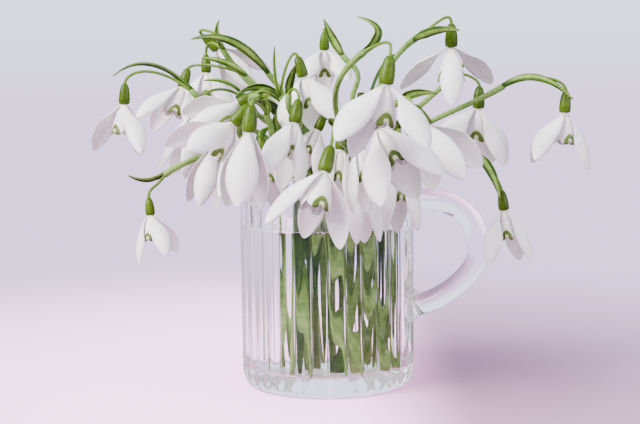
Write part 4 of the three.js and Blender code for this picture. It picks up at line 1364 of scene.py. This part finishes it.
def floor():
    """A wide round floor under the mug."""
    mesh = bpy.data.meshes.new("floor")
    shape = bmesh.new()
    bmesh.ops.create_circle(shape, cap_ends=True, segments=96, radius=14.0)
    shape.to_mesh(mesh)
    shape.free()
    mesh.materials.append(floor_finish())
    plane = bpy.data.objects.new("floor", mesh)
    bpy.context.scene.collection.objects.link(plane)


def sky():
    """Even studio surroundings: cool and pale above, the horizon's lilac below."""
    world = bpy.data.worlds.new("studio")
    world.use_nodes = True
    nodes = Nodes(world.node_tree)
    direction = nodes.make("ShaderNodeTexCoord").outputs["Generated"]
    height = nodes.make("ShaderNodeSeparateXYZ", {0: direction}).outputs[2]
    colour = nodes.mix(nodes.step(height, -0.02, 0.02), HORIZON_COLOUR, ZENITH_COLOUR)
    background = world.node_tree.nodes["Background"]
    less = indirect_dimming(nodes, SCATTERED_LESS["sky"])
    nodes.feed(background.inputs["Color"], colour)
    nodes.feed(background.inputs["Strength"], nodes.math("SUBTRACT", 1.0, less))
    bpy.context.scene.world = world


def lamp(name, place, target, size, watts, colour):
    """A round soft light, placed in metres."""
    light = bpy.data.lights.new(name, "AREA")
    light.shape = "DISK"
    light.size = size
    light.energy = watts
    light.color = colour
    lamp_object = bpy.data.objects.new(name, light)
    lamp_object.location = place
    aim = Vector(target) - Vector(place)
    lamp_object.rotation_euler = aim.to_track_quat("-Z", "Y").to_euler()
    bpy.context.scene.collection.objects.link(lamp_object)


def camera():
    """The photograph's view: a long lens, a little above the flowers and tilted down."""
    place = (-2.55, -567.0, 131.9)
    tilt, roll = 6.7, -0.8
    focal_share = 1506.0 / 640.0  # focal length as a share of the picture's width
    data = bpy.data.cameras.new("camera")
    data.sensor_width = 36.0
    data.lens = focal_share * data.sensor_width
    data.clip_start = 0.01
    data.clip_end = 60.0
    viewer = bpy.data.objects.new("camera", data)
    turn = Matrix.Rotation(math.radians(90 - tilt), 4, "X") @ Matrix.Rotation(math.radians(roll), 4, "Z")
    viewer.matrix_world = Matrix.Translation([c * MM for c in place]) @ turn
    bpy.context.scene.collection.objects.link(viewer)
    bpy.context.scene.camera = viewer


# ---- The bunch ----------------------------------------------------------------------------------------

camera()
sky()
floor()
lamp("window", (-0.75, -0.55, 0.85), (0, 0, 0.09), 0.9, 48.0, (1.0, 0.99, 0.97))
lamp("reflector", (0.9, -0.5, 0.45), (0, 0, 0.1), 0.8, 8.0, (1.0, 0.97, 0.99))

petal_finishes = [
    tepal_finish("white outer tepal"),
    inner_finish("white inner tepal with green mark"),
    striped_inside_finish(),
]
anther = anther_finish()
stalk_finishes = [
    stem_finish("stem", rgb(78, 112, 38), rgb(120, 152, 74), rgb(156, 176, 104)),
    stem_finish("pedicel", rgb(72, 104, 20), rgb(104, 132, 44), rgb(128, 150, 64)),
    spathe_finish(),
    ovary_finish(),
]
strap_leaf = leaf_finish()
glass_finishes = [
    glass_finish("clear pressed glass", GLASS_IOR),
    glass_finish("glass against water", GLASS_IOR / WATER_IOR),
]
water_finishes = [
    water_finish("clear water", WATER_IOR),
    water_finish("water against glass", 1.0),
]

routes = routes_through(goals())
for number, (flower, route) in enumerate(zip(BLOOMS, routes), 1):
    petals(number, flower, petal_finishes)
    stamens(number, flower, anther)
    stalk(number, flower, route, stalk_finishes)
for number, route in enumerate(routes[len(BLOOMS) :], 1):
    leaf(number, route, strap_leaf)
mug(glass_finishes)
water(water_finishes)
